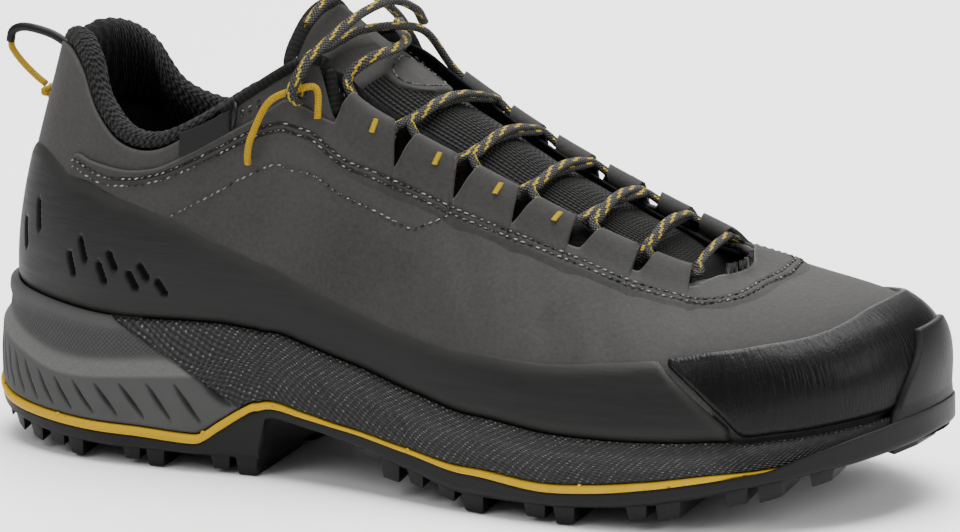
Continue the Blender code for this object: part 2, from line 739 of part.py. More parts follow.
def midsole_block(name, material):
    return stack(
        name,
        [
            ring(lambda s: -s["base"], lambda s: s["midsole"]),
            ring(lambda s: -s["base"] - s["inset"] * 0.08, lambda s: side_height(s, s["crease"] * 0.5)),
            ring(lambda s: -max(s["base"], s["inset"] * 0.2), lambda s: side_height(s, s["crease"])),
            ring(
                lambda s: -max(s["base"], s["inset"] * (0.25 + 0.45 * s["step"])),
                lambda s: side_height(s, s["crease"] + 0.13),
            ),
            ring(lambda s: -s["inset"], lambda s: s["rim"] - RIM_ROUND),
            ring(lambda s: -s["rim_in"], lambda s: s["rim"]),
            ring(lambda s: -s["foot_in"], lambda s: s["footbed"]),
        ],
        material,
    )


def cut_by_plane(piece, point, normal):
    """Keeps what lies behind a plane and closes the cut."""
    work = bmesh.new()
    work.from_mesh(piece.data)
    parts = work.verts[:] + work.edges[:] + work.faces[:]
    cut = bmesh.ops.bisect_plane(work, geom=parts, plane_co=point, plane_no=normal, clear_outer=True)
    edges = [e for e in cut["geom_cut"] if isinstance(e, bmesh.types.BMEdge)]
    bmesh.ops.contextual_create(work, geom=edges)
    bmesh.ops.recalc_face_normals(work, faces=work.faces)
    work.to_mesh(piece.data)
    work.free()


def make_midsole():
    """Heel foam and textured front part, which meet along a slanted line."""
    back, front = LENGTH * 0.178, LENGTH * 0.329
    top = Vector((back, 0, sole(back)["rim"]))
    bottom = Vector((front, 0, sole(front)["accent_top"]))
    normal = (bottom - top).cross(Vector((0, 1, 0))).normalized()
    if normal.x < 0:
        normal.negate()
    heel = midsole_block("midsole_heel", FOAM)
    cut_by_plane(heel, top, normal)
    wrap = midsole_block("midsole_wrap", KNIT_RUBBER)
    cut_by_plane(wrap, top + normal * CLEARANCE, -normal)
    boolean(heel, groove_cutters(top, normal), "DIFFERENCE")
    return heel, wrap


def groove_cutters(split_point, split_normal):
    """Slanted wedges that cut the ribs into the side of the heel."""
    pitch = 0.22
    blades = []
    for outer_side in (True, False):
        for k in range(13):
            place = 0.35 + pitch * k * (1 + 0.012 * k)
            at = place if outer_side else ROUND - place
            base, _ = outline(at)
            heights = sole(base[0])
            low_z = side_height(heights, heights["crease"] * 0.22)
            high_z = side_height(heights, heights["crease"] * 0.88)
            low = blade_section(at, outer_side, GROOVE_LEAN, low_z)
            high = blade_section(at, outer_side, -GROOVE_LEAN, high_z)
            ahead = (Vector(low[0]) - split_point).dot(split_normal)
            if ahead < -GROOVE_LEAN * 1.7:
                blades.append((low, high))
    return prisms("groove_blades", blades, FOAM)


def blade_section(place, outer_side, shift, height):
    """A wedge's triangle at one end: two corners outside the heel's side and one inside."""
    (x, y), outward = outline(place)
    along = np.array([-outward[1], outward[0]]) * (1 if outer_side else -1)
    middle = np.array([x, y]) + along * shift
    out = middle + outward * GROOVE_DEPTH
    inside = middle - outward * GROOVE_DEPTH
    wide = along * GROOVE_WIDTH
    return [(*(out - wide), height), (*inside, height), (*(out + wide), height)]


def make_insole():
    inset = WALL + CLEARANCE * 3
    return stack(
        "insole",
        [
            ring(lambda s: -s["foot_in"] - inset, lambda s: s["footbed"] + CLEARANCE),
            ring(lambda s: -s["foot_in"] - inset, lambda s: s["footbed"] + CLEARANCE + INSOLE_THICKNESS),
        ],
        SOCK_CLOTH,
    )


def make_upper():
    """The hollow leather wall, open at the collar, down the throat and underneath."""
    points = GRID.reshape(-1, 3)
    faces = grid_faces(len(TURN), len(WALL_ROWS), close_columns=True)
    piece = add_piece("upper", points, faces, LEATHER, closed=False)
    add_solidify(piece, WALL, -1)
    return piece


def places_between(first, last, extra=()):
    """The samples between two places on the outline, with the ends and some more."""
    inside = [p for p in TURN if first < p < last]
    near = 0.06
    kept = [p for p in inside if all(abs(p - e) > near for e in (*extra, first, last))]
    return sorted({first, last, *kept, *extra})


def zipped_faces(columns):
    """Faces between neighbouring columns of points, which may have unlike numbers of rows."""
    faces, start = [], 0
    for left, right in zip(columns, columns[1:]):
        a, b = start, start + len(left)
        last_a, last_b = b - 1, b + len(right) - 1
        rows = left + right
        while a < last_a or b < last_b:
            next_a = rows[a + 1 - start] if a < last_a else 9
            next_b = rows[b + 1 - start] if b < last_b else 9
            both = a < last_a and b < last_b
            if both and (abs(next_a - next_b) < 0.001 or (a + 1 == last_a and b + 1 == last_b)):
                faces.append((a, b, b + 1, a + 1))
                a, b = a + 1, b + 1
            elif next_a < next_b:
                faces.append((a, b, a + 1))
                a += 1
            else:
                faces.append((a, b, b + 1))
                b += 1
        start += len(left)
    return faces


def overlay(name, columns, thickness, material):
    """A shell over the upper. A column is a place and its rows, each alone or with a lift of its own."""
    points, rows = [], []
    for place, column in columns:
        entries = [entry if isinstance(entry, tuple) else (entry, OVERLAY_LIFT) for entry in column]
        points += [skin(place, row, rise) for row, rise in entries]
        rows.append([row for row, _ in entries])
    piece = add_piece(name, points, zipped_faces(rows), material, closed=False)
    add_solidify(piece, thickness, 1)
    return piece


def rows_between(low, high):
    """The wall's own rows between two edges, so that an overlay follows its faces."""
    near = 0.012
    return [low, *[row for row in WALL_ROWS if low + near < row < high - near], high]


def make_film():
    """The matt film round the heel and along both sides, with its vent slots."""
    low_row = 0.025
    last = FILM_EDGE[-1][0]
    side = places_between(0.0, last, extra=(9.15, 9.36))
    columns = []
    for place in [-p for p in reversed(side) if p > 0] + side:
        columns.append((place % ROUND, rows_between(low_row, smooth(FILM_EDGE, 1, abs(place)))))
    film = baked(overlay("rand_film", columns, FILM_THICKNESS, FILM))
    boolean(film, slot_cutters(), "DIFFERENCE")
    return film


def slot_cutters():
    cuts = []
    for outer_side in (True, False):
        for place, high, low in SLOTS[: len(SLOTS) if outer_side else 5]:
            at = place if outer_side else ROUND - place
            lean = 0.05 if outer_side else -0.05
            loops = []
            for lift in (-CLEARANCE * 2, FILM_THICKNESS + OVERLAY_LIFT * 2):
                top = skin(at - lean, high, lift)
                bottom = skin(at + lean, low, lift)
                ahead = skin(at + 0.1, (high + low) / 2, lift) - skin(at - 0.1, (high + low) / 2, lift)
                half = ahead / np.linalg.norm(ahead) * SLOT_WIDTH / 2
                loops.append([bottom - half, bottom + half, top + half, top - half])
            cuts.append(tuple(loops))
    return prisms("slot_blocks", cuts, FILM)


def make_toe_cap():
    first, last = CAP_EDGES[0][0], ROUND - CAP_EDGES[0][0]
    corners = (CAP_EDGES[1][0], CAP_EDGES[2][0], CAP_EDGES[3][0])
    extra = (*corners, *(ROUND - c for c in corners))
    columns = []
    for place in places_between(first, last, extra):
        at = min(place, ROUND - place)
        low, high = smooth(CAP_EDGES, 1, at), smooth(CAP_EDGES, 2, at)
        columns.append((place, [(row, CAP_LIFT) for row in rows_between(low, high)]))
    return overlay("toe_cap", columns, CAP_THICKNESS, CAP_GLOSS)


def tab_columns(first, last, notch, low, inner):
    """Columns of one lace tab: steep sides and a hollow fold that the lace runs through."""
    top = TAB_TOP_ROW
    rise = OVERLAY_LIFT + TAB_RISE
    pitch = np.linalg.norm(skin(last, 0.95) - skin(first, 0.95)) / (last - first)
    edge = TAB_SIDE / pitch
    middle = (first + last) / 2
    open_rows = [low, (notch + low) / 2, notch, notch + 0.02]
    fold = [low, (notch + 0.01, rise * TAB_BASE_LIFT), (0.955, rise), (top, rise * 0.75)]
    found = [
        (first - edge, open_rows),
        (first, fold),
        (middle, fold),
        (last, fold),
        (last + edge, open_rows),
    ]
    if inner:
        return [(ROUND - place, rows) for place, rows in reversed(found)]
    return found


def facing_low(place):
    return smooth([FACING_BACK[-1], (6.5, 0.700), (8.5, 0.700), FACING_FRONT[0]], 1, place)


def facing_side(tabs, inner):
    columns = []
    for place, low, high in FACING_BACK + FACING_FRONT:
        at = ROUND - place if inner else place
        columns.append((at, rows_between(low, high)))
    for first, last, notch in tabs:
        columns += tab_columns(first, last, notch, facing_low((first + last) / 2), inner)
    return columns


def make_facing():
    """The eyestay: one overlay from the heel along the throat and round its front, with six tabs on each side."""
    columns = facing_side(TABS_OUTER, False) + facing_side(TABS_INNER, True)
    columns = {round(place, 4): rows for place, rows in columns}
    return overlay("eyestay", sorted(columns.items()), FACING_THICKNESS, LEATHER_DARK)


def make_collar_pad():
    """The padded knit roll at the top edge, from one flap round the heel to the other."""
    share = [(0, 1.0), (4.0, 1.0), (4.6, 0.75), (5.03, 0.42)]
    side = [p for p in SAMPLES if p <= 5.03]
    gap = WALL + CLEARANCE * 2.5
    sections = []
    for place in [-p for p in reversed(side) if p > 0] + side:
        scale = smooth(share, 1, abs(place))
        thick = PAD_THICKNESS * scale
        top = skin(place, 1)
        inward = skin(place, 1, -1.0) - top
        up = top - skin(place, 0.9)
        up /= np.linalg.norm(up)
        low_row = 0.80 + 0.06 * (1 - scale)

        def at(inwards, rise):
            return top + inward * inwards + up * rise

        sections.append(
            [
                skin(place, low_row, -gap),
                skin(place, 0.9, -gap),
                skin(place, 1.0, -gap),
                at(WALL * 0.45, 0.0010),
                at(WALL * 0.6 + thick * 0.2, 0.0010 + 0.0034 * scale),
                at(WALL + thick * 0.6, 0.0010 + 0.0036 * scale),
                at(WALL + thick, 0.0008),
                skin(place, 0.9, -WALL - thick * 0.97),
                skin(place, low_row, -gap - thick * 0.35),
            ]
        )
    return loft("collar_pad", sections, KNIT)


def tongue_sections():
    """Points across the top face of the tongue, from its outer to its inner edge, for each section."""
    found = []
    for x, z, outer, inner in TONGUE_UNDER:
        crest = np.array([x * LENGTH, 0.002, z * INSTEP_HEIGHT])
        drop = 0.0016
        left = crest + np.array([0, -outer * HALF_WIDTH, -drop])
        right = crest + np.array([0, inner * HALF_WIDTH, -drop])
        found.append((left, crest, right))
    for x, z, place in TONGUE_THROAT:
        gap = WALL + CLEARANCE * 2
        left = skin(place, 0.93, -gap)
        right = skin(ROUND - place, 0.93, -gap)
        crest = np.array([x * LENGTH, (left[1] + right[1]) / 2, z * INSTEP_HEIGHT])
        found.append((left, crest, right))
    for x, z, outer, inner, drop, back in TONGUE_TOP:
        crest = np.array([x * LENGTH, 0.001, z * INSTEP_HEIGHT])
        left = crest + np.array([-back * LENGTH, -outer * HALF_WIDTH, -drop * INSTEP_HEIGHT])
        right = crest + np.array([-back * LENGTH, inner * HALF_WIDTH, -drop * INSTEP_HEIGHT])
        found.append((left, crest, right))
    return found


TONGUE_ACROSS = [0.0, 0.12, 0.3, 0.5, 0.7, 0.88, 1.0]


def tongue_arc(left, crest, right, t):
    """A point of a curve that starts at the left edge, is level over the crest and ends at the right edge."""
    side = left if t < 0.5 else right
    f = 1 - abs(2 * t - 1)
    shape = math.sin(f * math.pi / 2)
    return side + (crest - side) * np.array([f, f, shape])


def tongue_top():
    return np.array([[tongue_arc(*s, t) for t in TONGUE_ACROSS] for s in tongue_sections()])


TONGUE = tongue_top()


def make_tongue():
    points = TONGUE.reshape(-1, 3)
    rows = len(TONGUE_ACROSS)
    faces = [f[::-1] for f in grid_faces(len(TONGUE), rows)]
    piece = add_piece("tongue", points, faces, WEBBING, closed=False)
    add_solidify(piece, TONGUE_THICKNESS, -1)
    return piece


TONGUE_TREE = BVHTree.FromPolygons(
    [tuple(p) for p in TONGUE.reshape(-1, 3)],
    grid_faces(len(TONGUE), len(TONGUE_ACROSS)),
)


def tongue_height(x, y):
    """Height of the tongue's top face at a point of the plan, or nothing beside it."""
    hit = TONGUE_TREE.ray_cast(Vector((x, y, 1)), Vector((0, 0, -1)))[0]
    return hit.z if hit else 0.0


def tube(name, points, diameter, material, sides=2):
    """A cord along a smooth curve through some points."""
    route = smooth_route(points, diameter * 2.5)
    curve = bpy.data.curves.new(name, "CURVE")
    curve.dimensions = "3D"
    curve.bevel_depth = diameter / 2
    curve.bevel_resolution = sides
    curve.use_fill_caps = True
    spline = curve.splines.new("POLY")
    spline.points.add(len(route) - 1)
    for point, place in zip(spline.points, route):
        point.co = (*place, 1)
    curve.materials.append(material)
    piece = bpy.data.objects.new(name, curve)
    SHOE.objects.link(piece)
    return piece


def smooth_route(points, step):
    """Points on a smooth curve through the given ones, a step apart and closer near the ends and in a turn."""
    samples = 12
    points = np.array(points, float)
    ends = np.vstack([2 * points[0] - points[1], points, 2 * points[-1] - points[-2]])
    fine = []
    for i in range(1, len(ends) - 2):
        a, b, c, d = ends[i - 1 : i + 3]
        for f in np.linspace(0, 1, samples, endpoint=False):
            square = (2 * a - 5 * b + 4 * c - d) * f**2
            cube = (3 * b - a - 3 * c + d) * f**3
            fine.append(0.5 * (2 * b + (c - a) * f + square + cube))
    fine.append(points[-1])
    most_turn = 0.55
    route, length, turn = [fine[0]], 0.0, 0.0
    near_ends = (samples, len(fine) - 1 - samples)
    for k, (before, at, after) in enumerate(zip(fine, fine[1:], fine[2:]), start=1):
        one, two = at - before, after - at
        length += np.linalg.norm(one)
        cosine = one.dot(two) / np.linalg.norm(one) / np.linalg.norm(two)
        turn += math.acos(min(1.0, cosine))
        near = length < step * 0.3
        if k in near_ends and near and len(route) > 1:
            route[-1] = at
            length, turn = 0.0, 0.0
        elif length > step or k in near_ends or (turn > most_turn and not near):
            route.append(at)
            length, turn = 0.0, 0.0
    if np.linalg.norm(route[-1] - fine[-1]) < step * 0.15 and len(route) > 2:
        route.pop()
    return [*route, fine[-1]]


def curve_to_mesh(piece):
    """A curve as a closed mesh, ready for a Boolean."""
    graph = bpy.context.evaluated_depsgraph_get()
    mesh = bpy.data.meshes.new_from_object(piece.evaluated_get(graph))
    work = bmesh.new()
    work.from_mesh(mesh)
    bmesh.ops.remove_doubles(work, verts=work.verts, dist=0.00001)
    bmesh.ops.recalc_face_normals(work, faces=work.faces)
    work.to_mesh(mesh)
    work.free()
    made = bpy.data.objects.new("joined", mesh)
    made.matrix_world = piece.matrix_world
    name = piece.name
    SHOE.objects.link(made)
    bpy.data.objects.remove(piece)
    made.name = name
    return made


def tab_end(tabs, number, inner, towards_ankle):
    """Where the lace comes out of a tab's fold: a point outside the wall and one over its top edge."""
    first, last, _ = tabs[number]
    place = first if towards_ankle else last
    step = -0.01 if towards_ankle else 0.01
    row = 1
    start = end = skin(ROUND - place if inner else place, row)
    while np.linalg.norm(end - start) < LACE_DIAMETER / 2 + TAB_SIDE + CLEARANCE * 2:
        place += step
        end = skin(ROUND - place if inner else place, row)
    at = ROUND - place if inner else place
    outward = (skin(at, row, 1) - skin(at, row)) * np.array([1, 1, 0])
    outward /= np.linalg.norm(outward)
    over = skin(at, row) - outward * WALL * 0.5 + np.array([0, 0, LACE_DIAMETER / 2 + CLEARANCE * 1.7])
    return [over + outward * LACE_DIAMETER * 0.5, over]


def strand_route(start, end, above=0.0):
    """A strand from one tab to another, an arch that clears the tongue and may rise further above it."""
    first, start = start
    last, end = end
    shares = (0.08, 0.16, 0.27, 0.38, 0.5, 0.62, 0.73, 0.84, 0.92)
    rise = 0.001
    for f in shares:
        at = start + (end - start) * f
        need = tongue_height(at[0], at[1]) + LACE_DIAMETER / 2 + CLEARANCE * 3 - at[2]
        rise = max(rise, need / math.sin(math.pi * f))
    route = [first]
    for f in (0, *shares, 1):
        lift = (rise + above) * math.sin(math.pi * f)
        route.append(start + (end - start) * f + np.array([0, 0, lift]))
    return [*route, last]


def make_laces():
    """The lowest bar of the lace and its five crossings, each one solid."""
    bar = tube(
        "lace_bar",
        strand_route(
            tab_end(TABS_OUTER, 5, False, False),
            tab_end(TABS_INNER, 5, True, False),
        ),
        LACE_DIAMETER,
        LACE,
    )
    crossings = []
    for k in range(5):
        over = strand_route(
            tab_end(TABS_OUTER, k + 1, False, True),
            tab_end(TABS_INNER, k, True, False),
            LACE_DIAMETER * 0.8,
        )
        under = strand_route(
            tab_end(TABS_INNER, k + 1, True, True),
            tab_end(TABS_OUTER, k, False, False),
        )
        name = f"lace_cross_{k + 1}"
        upper_strand = curve_to_mesh(tube(name, over, LACE_DIAMETER, LACE))
        lower_strand = curve_to_mesh(tube(f"lower_strand_{k + 1}", under, LACE_DIAMETER, LACE))
        boolean(upper_strand, lower_strand, "UNION", crossing=True)
        crossings.append(upper_strand)
    return bar, crossings


# Routes of the lace above its top tabs: shares of the length, of half the width and of the instep's height
TOP_LACE_A = [
    (0.4456, 0.274, 1.0254),
    (0.4303, 0.094, 1.0525),
    (0.4099, -0.113, 1.0542),
    (0.3963, -0.302, 1.0297),
    (0.3898, -0.453, 1.0220),
    (0.3874, -0.525, 0.9958),
    (0.3874, -0.542, 0.9559),
    (0.3874, -0.558, 0.9288),
    (0.3874, -0.606, 0.9186),
    (0.3874, -0.649, 0.9288),
    (0.3884, -0.672, 0.9559),
    (0.3963, -0.585, 1.0127),
    (0.4054, -0.396, 1.0576),
    (0.4150, -0.151, 1.0983),
    (0.4286, 0.066, 1.1153),
    (0.4371, 0.245, 1.0847),
    (0.4337, 0.377, 1.0407),
]
TOP_LACE_B = [
    (0.4371, -0.283, 1.0051),
    (0.4439, -0.075, 1.0119),
    (0.4354, 0.151, 1.0136),
    (0.4133, 0.321, 1.0220),
    (0.3986, 0.462, 1.0288),
    (0.3942, 0.532, 1.0017),
    (0.3929, 0.545, 0.9627),
    (0.3929, 0.562, 0.9356),
    (0.3929, 0.609, 0.9254),
    (0.3929, 0.655, 0.9356),
    (0.3918, 0.675, 0.9661),
    (0.3884, 0.575, 1.0297),
    (0.3850, 0.377, 1.0898),
    (0.3830, 0.113, 1.1373),
    (0.3796, -0.151, 1.1271),
    (0.3735, -0.340, 1.0814),
]
LOOP_TOPS = ((0.3874, -0.606, 0.9483), (0.3929, 0.609, 0.9551))
LOOP_FEET = [
    (5.00, 0.715, 0.0016),
    (5.02, 0.750, 0.0032),
    (5.06, 0.810, 0.0036),
    (5.20, 0.900, 0.0046),
]
LOOP_RETURN = [
    (5.56, 0.900, 0.0046),
    (5.60, 0.805, 0.0032),
]

# Pull loop: shares of its reach, from the top of the heel
PULL_CORD = [
    (-0.985, 0.0, -0.091),
    (-0.921, 0.0, -0.210),
    (-0.793, 0.0, -0.353),
    (-0.595, 0.0, -0.521),
    (-0.432, 0.0, -0.635),
]
PULL_SLEEVE = [
    (-0.032, 0.0, -0.030),
    (-0.249, 0.0, 0.086),
    (-0.496, 0.0, 0.156),
    (-0.768, 0.0, 0.185),
    (-0.951, 0.0, 0.116),
    (-1.000, 0.0, -0.042),
]


def on_instep(route):
    """A route in metres from shares of the shoe's main sizes."""
    sizes = np.array([LENGTH, HALF_WIDTH, INSTEP_HEIGHT])
    return [np.array(point) * sizes for point in route]


def from_heel(route):
    """A route in metres from shares of the pull loop's reach behind the top of the heel."""
    top = skin(0, 1)
    return [top + np.array(point) * PULL_REACH for point in route]


def loop_route(top, inner):
    """A small cord loop on the upper: from its hole up to its top and down to its other end."""
    feet, ends = [
        [skin(ROUND - place if inner else place, row, lift) for place, row, lift in part]
        for part in (LOOP_FEET, LOOP_RETURN)
    ]
    return [*feet, *on_instep([top]), *ends]


def make_cords():
    lace_a = [*tab_end(TABS_INNER, 0, True, True), *on_instep(TOP_LACE_A)]
    lace_b = [*tab_end(TABS_OUTER, 0, False, True), *on_instep(TOP_LACE_B)]
    tube("lace_top_a", lace_a, LACE_DIAMETER, LACE)
    tube("lace_top_b", lace_b, LACE_DIAMETER, LACE)
    tube("top_loop_outer", loop_route(LOOP_TOPS[0], False), LOOP_CORD_DIAMETER, YELLOW_CORD)
    tube("top_loop_inner", loop_route(LOOP_TOPS[1], True), LOOP_CORD_DIAMETER, YELLOW_CORD)
    tube("pull_sleeve", from_heel(PULL_SLEEVE), SLEEVE_DIAMETER, RUBBER)
    tube("pull_cord", from_heel(PULL_CORD), LOOP_CORD_DIAMETER, YELLOW_CORD)


def centre_on_floor():
    """Moves everything so that the origin is under the middle of the shoe, measured without its cords."""
    bpy.context.view_layer.update()
    graph = bpy.context.evaluated_depsgraph_get()
    corners = []
    for piece in SHOE.objects:
        if piece.type == "MESH":
            mesh = piece.evaluated_get(graph).to_mesh()
            corners += [vertex.co.copy() for vertex in mesh.vertices]
            piece.evaluated_get(graph).to_mesh_clear()
    corners = np.array(corners)
    low, high = corners.min(axis=0), corners.max(axis=0)
    shift = Vector((-(low[0] + high[0]) / 2, -(low[1] + high[1]) / 2, -low[2]))
    for piece in [*SHOE.objects, *CUTTERS.objects]:
        piece.data.transform(Matrix.Translation(shift))


def main():
    make_outsole()
    make_accent()
    make_midsole()
    make_insole()
    make_upper()
    make_film()
    make_toe_cap()
    make_facing()
    make_collar_pad()
    make_tongue()
    make_laces()
    make_cords()
    centre_on_floor()


clear_scene()
SHOE = bpy.data.collections.new("approach_shoe")
CUTTERS = bpy.data.collections.new("cutters")
bpy.context.scene.collection.children.link(SHOE)
bpy.context.scene.collection.children.link(CUTTERS)

LEATHER = finish("nubuck", (0.070, 0.069, 0.066), 0.75)
LEATHER_DARK = finish("nubuck_overlay", (0.066, 0.065, 0.062), 0.75)
FILM = finish("matt_film", (0.022, 0.022, 0.021), 0.55)
CAP_GLOSS = finish("gloss_cap", (0.015, 0.015, 0.015), 0.25, 0.5)
RUBBER = finish("rubber", (0.018, 0.018, 0.018), 0.60)
YELLOW_RUBBER = finish("yellow_rubber", (0.65, 0.42, 0.02), 0.50)
FOAM = finish("grey_foam", (0.085, 0.085, 0.085), 0.80)
KNIT_RUBBER = finish("textured_rubber", (0.030, 0.030, 0.030), 0.70)
SOCK_CLOTH = finish("sock_cloth", (0.020, 0.020, 0.020), 0.90)
KNIT = finish("knit", (0.018, 0.018, 0.018), 0.90)
WEBBING = finish("webbing", (0.025, 0.025, 0.025), 0.85)
LACE = finish("lace", (0.020, 0.020, 0.019), 0.80)
YELLOW_CORD = finish("yellow_cord", (0.72, 0.45, 0.02), 0.60)

main()
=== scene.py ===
"""The looks of an approach shoe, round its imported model. Metres, +Z up, toe towards +X, inner side +Y."""

import math

import bpy
import numpy as np
from mathutils import Matrix, Vector
from mathutils.bvhtree import BVHTree


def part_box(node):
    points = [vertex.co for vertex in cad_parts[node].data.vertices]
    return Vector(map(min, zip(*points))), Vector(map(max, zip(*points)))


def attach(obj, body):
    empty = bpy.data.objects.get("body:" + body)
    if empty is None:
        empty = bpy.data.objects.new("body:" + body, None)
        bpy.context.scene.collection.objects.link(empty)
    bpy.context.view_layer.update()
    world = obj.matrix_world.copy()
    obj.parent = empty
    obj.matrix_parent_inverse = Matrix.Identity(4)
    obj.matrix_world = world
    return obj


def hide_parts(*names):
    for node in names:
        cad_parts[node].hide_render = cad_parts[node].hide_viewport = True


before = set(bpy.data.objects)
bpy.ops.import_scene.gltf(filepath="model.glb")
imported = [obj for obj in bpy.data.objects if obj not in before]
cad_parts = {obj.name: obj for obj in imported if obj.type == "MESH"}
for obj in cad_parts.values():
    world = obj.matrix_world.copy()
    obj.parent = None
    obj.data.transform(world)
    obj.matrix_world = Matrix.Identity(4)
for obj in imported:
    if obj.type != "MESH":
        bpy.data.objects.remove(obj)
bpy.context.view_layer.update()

# Driving dimensions
LENGTH = 0.294
BALL_WIDTH = 0.106
COLLAR_HEIGHT = 0.116
INSTEP_HEIGHT = 0.118
TOE_HEIGHT = 0.062
WALL = 0.0022
CLEARANCE = 0.0003
OVERLAY_LIFT = 0.00048
CAP_LIFT = 0.0008

# Sole layers, measured under the heel, and the lift of the tread at the toe
TOE_SPRING = 0.020
LUG_HEIGHT = 0.0048
OUTSOLE_THICKNESS = 0.0085
TREAD_CHAMFER = 0.0015
LUG_INSET = 0.0012
LUG_TAPER = 0.0007
LUG_SLANT = 0.0040
ACCENT_THICKNESS = 0.0024
ACCENT_PROUD = 0.00025
MIDSOLE_THICKNESS = 0.016
CRADLE_HEIGHT = 0.016
CRADLE_WALL = 0.0022
RIM_INSET = 0.0040
RIM_ROUND = 0.0004
FOOT_TUCK = 0.0012
TOE_WALL = 0.0022
TOE_WALL_HEIGHT = 0.0050
INSOLE_THICKNESS = 0.0040

# Overlays, padding and lace
FILM_THICKNESS = 0.0008
CAP_THICKNESS = 0.0012
FACING_THICKNESS = 0.0012
GUSSET_THICKNESS = 0.0008
TAB_SIDE = 0.0007
BUMPER_THICKNESS = 0.0016
BUMPER_WALL = 0.0014
PAD_THICKNESS = 0.0070
TONGUE_THICKNESS = 0.0034
SLOT_WIDTH = 0.0019
SLOT_LEAN = 0.0007
LACE_DIAMETER = 0.0033
LOOP_CORD_DIAMETER = 0.0020
SLEEVE_DIAMETER = 0.0026
PULL_REACH = 0.02025
GROOVE_DEPTH = 0.0019
GROOVE_LEAN = 0.0035
SPLIT_TUCK = 0.0016
WRAP_PROUD = 0.0006
PIT_DEPTH = 0.0016
SEAM_GAP = 0.0019
STITCH_PITCH = 0.0023

# Folds of the lace tabs: row up the wall, lift off it, and radius
TUNNEL_ROW = 0.975
TUNNEL_LIFT = 0.0009
FOLD_RADIUS = 0.0028

HALF_WIDTH = BALL_WIDTH / 2
ZONE_HEIGHT = {"collar": COLLAR_HEIGHT, "instep": INSTEP_HEIGHT, "toe": TOE_HEIGHT}

# Outline of the sole: place, share of the length, outer and inner side as shares of half the ball width
OUTLINE = [
    ("heel_back", 0.000, 0.019, -0.019),
    ("heel_turn", 0.015, 0.311, 0.264),
    ("heel_corner", 0.061, 0.575, 0.528),
    ("heel_side", 0.143, 0.745, 0.689),
    ("heel_front", 0.245, 0.774, 0.698),
    ("waist", 0.354, 0.764, 0.632),
    ("arch", 0.463, 0.849, 0.623),
    ("ball_back", 0.571, 0.981, 0.755),
    ("ball", 0.687, 1.057, 0.906),
    ("ball_front", 0.789, 1.019, 0.953),
    ("toe_side", 0.881, 0.849, 0.877),
    ("toe_corner", 0.949, 0.566, 0.679),
    ("toe_turn", 0.988, 0.236, 0.406),
    ("toe_tip", 1.000, -0.094, 0.094),
]
ROUND = 2 * (len(OUTLINE) - 1)

# Sole sections: share of the length, tread (of the toe spring), outsole and the part of it that is solid plate
# (of its thickness), accent, midsole, cradle and toe wall (of their own sizes), rim inset, base inset and tuck
SOLE = [
    (0.000, 0.50, 0.47, 0.29, 1.00, 0.73, 1.09, 0.00, 1.10, 0, 1.0),
    (0.051, 0.21, 0.78, 0.33, 1.00, 0.92, 1.05, 0.00, 1.08, 0, 1.0),
    (0.119, 0.04, 1.00, 0.44, 1.00, 0.99, 0.96, 0.00, 1.00, 0, 1.0),
    (0.197, 0.00, 1.00, 0.44, 1.00, 1.00, 0.91, 0.00, 0.90, 0, 1.0),
    (0.276, 0.00, 0.91, 0.34, 1.00, 1.02, 0.98, 0.00, 0.82, 0, 1.0),
    (0.306, 0.00, 1.47, 0.91, 1.00, 0.73, 0.97, 0.00, 0.80, 0, 1.0),
    (0.330, 0.00, 2.00, 1.44, 0.92, 0.45, 0.94, 0.00, 0.78, 0, 1.0),
    (0.346, 0.00, 2.26, 1.70, 0.86, 0.31, 0.92, 0.00, 0.77, 0, 1.0),
    (0.357, 0.05, 2.24, 0.33, 0.83, 0.28, 0.90, 0.00, 0.76, 0, 1.0),
    (0.401, 0.20, 1.75, 0.33, 0.58, 0.31, 0.82, 0.00, 0.75, 0, 1.0),
    (0.449, 0.30, 1.32, 0.38, 0.36, 0.32, 0.75, 0.00, 0.75, 0, 1.0),
    (0.524, 0.21, 1.16, 0.60, 0.42, 0.31, 0.62, 0.00, 0.75, 0, 1.0),
    (0.595, 0.00, 1.27, 0.71, 0.75, 0.29, 0.55, 0.00, 0.75, 0, 1.0),
    (0.680, 0.00, 1.04, 0.47, 0.92, 0.30, 0.49, 0.00, 0.75, 0, 1.0),
    (0.731, 0.05, 1.04, 0.47, 0.92, 0.28, 0.43, 0.00, 0.75, 0, 1.0),
    (0.782, 0.13, 1.08, 0.52, 0.83, 0.26, 0.35, 0.00, 0.74, 0, 1.0),
    (0.837, 0.28, 1.04, 0.47, 0.67, 0.25, 0.26, 0.00, 0.72, 0, 0.8),
    (0.880, 0.42, 0.91, 0.33, 0.25, 0.25, 0.22, 0.05, 0.69, 1, 0.6),
    (0.925, 0.62, 0.71, 0.30, 0.25, 0.19, 0.22, 0.60, 0.66, 1, 0.5),
    (0.969, 0.82, 0.59, 0.30, 0.25, 0.15, 0.19, 0.95, 0.65, 1, 0.4),
    (1.000, 1.00, 0.47, 0.29, 0.25, 0.14, 0.15, 1.00, 0.65, 1, 0.4),
]
SOLE_COLUMNS = ("tread", "outsole", "plate", "accent", "midsole", "cradle", "wall", "inset", "base", "tuck")

# Side of the midsole: share of the length, height of the crease (of the side), and how far it steps in there
SIDE = [
    (0.000, 0.60, 1.0),
    (0.051, 0.49, 1.0),
    (0.119, 0.38, 1.0),
    (0.197, 0.45, 1.0),
    (0.276, 0.52, 0.9),
    (0.350, 0.56, 0.45),
    (0.450, 0.60, 0.35),
    (1.000, 0.60, 0.30),
]

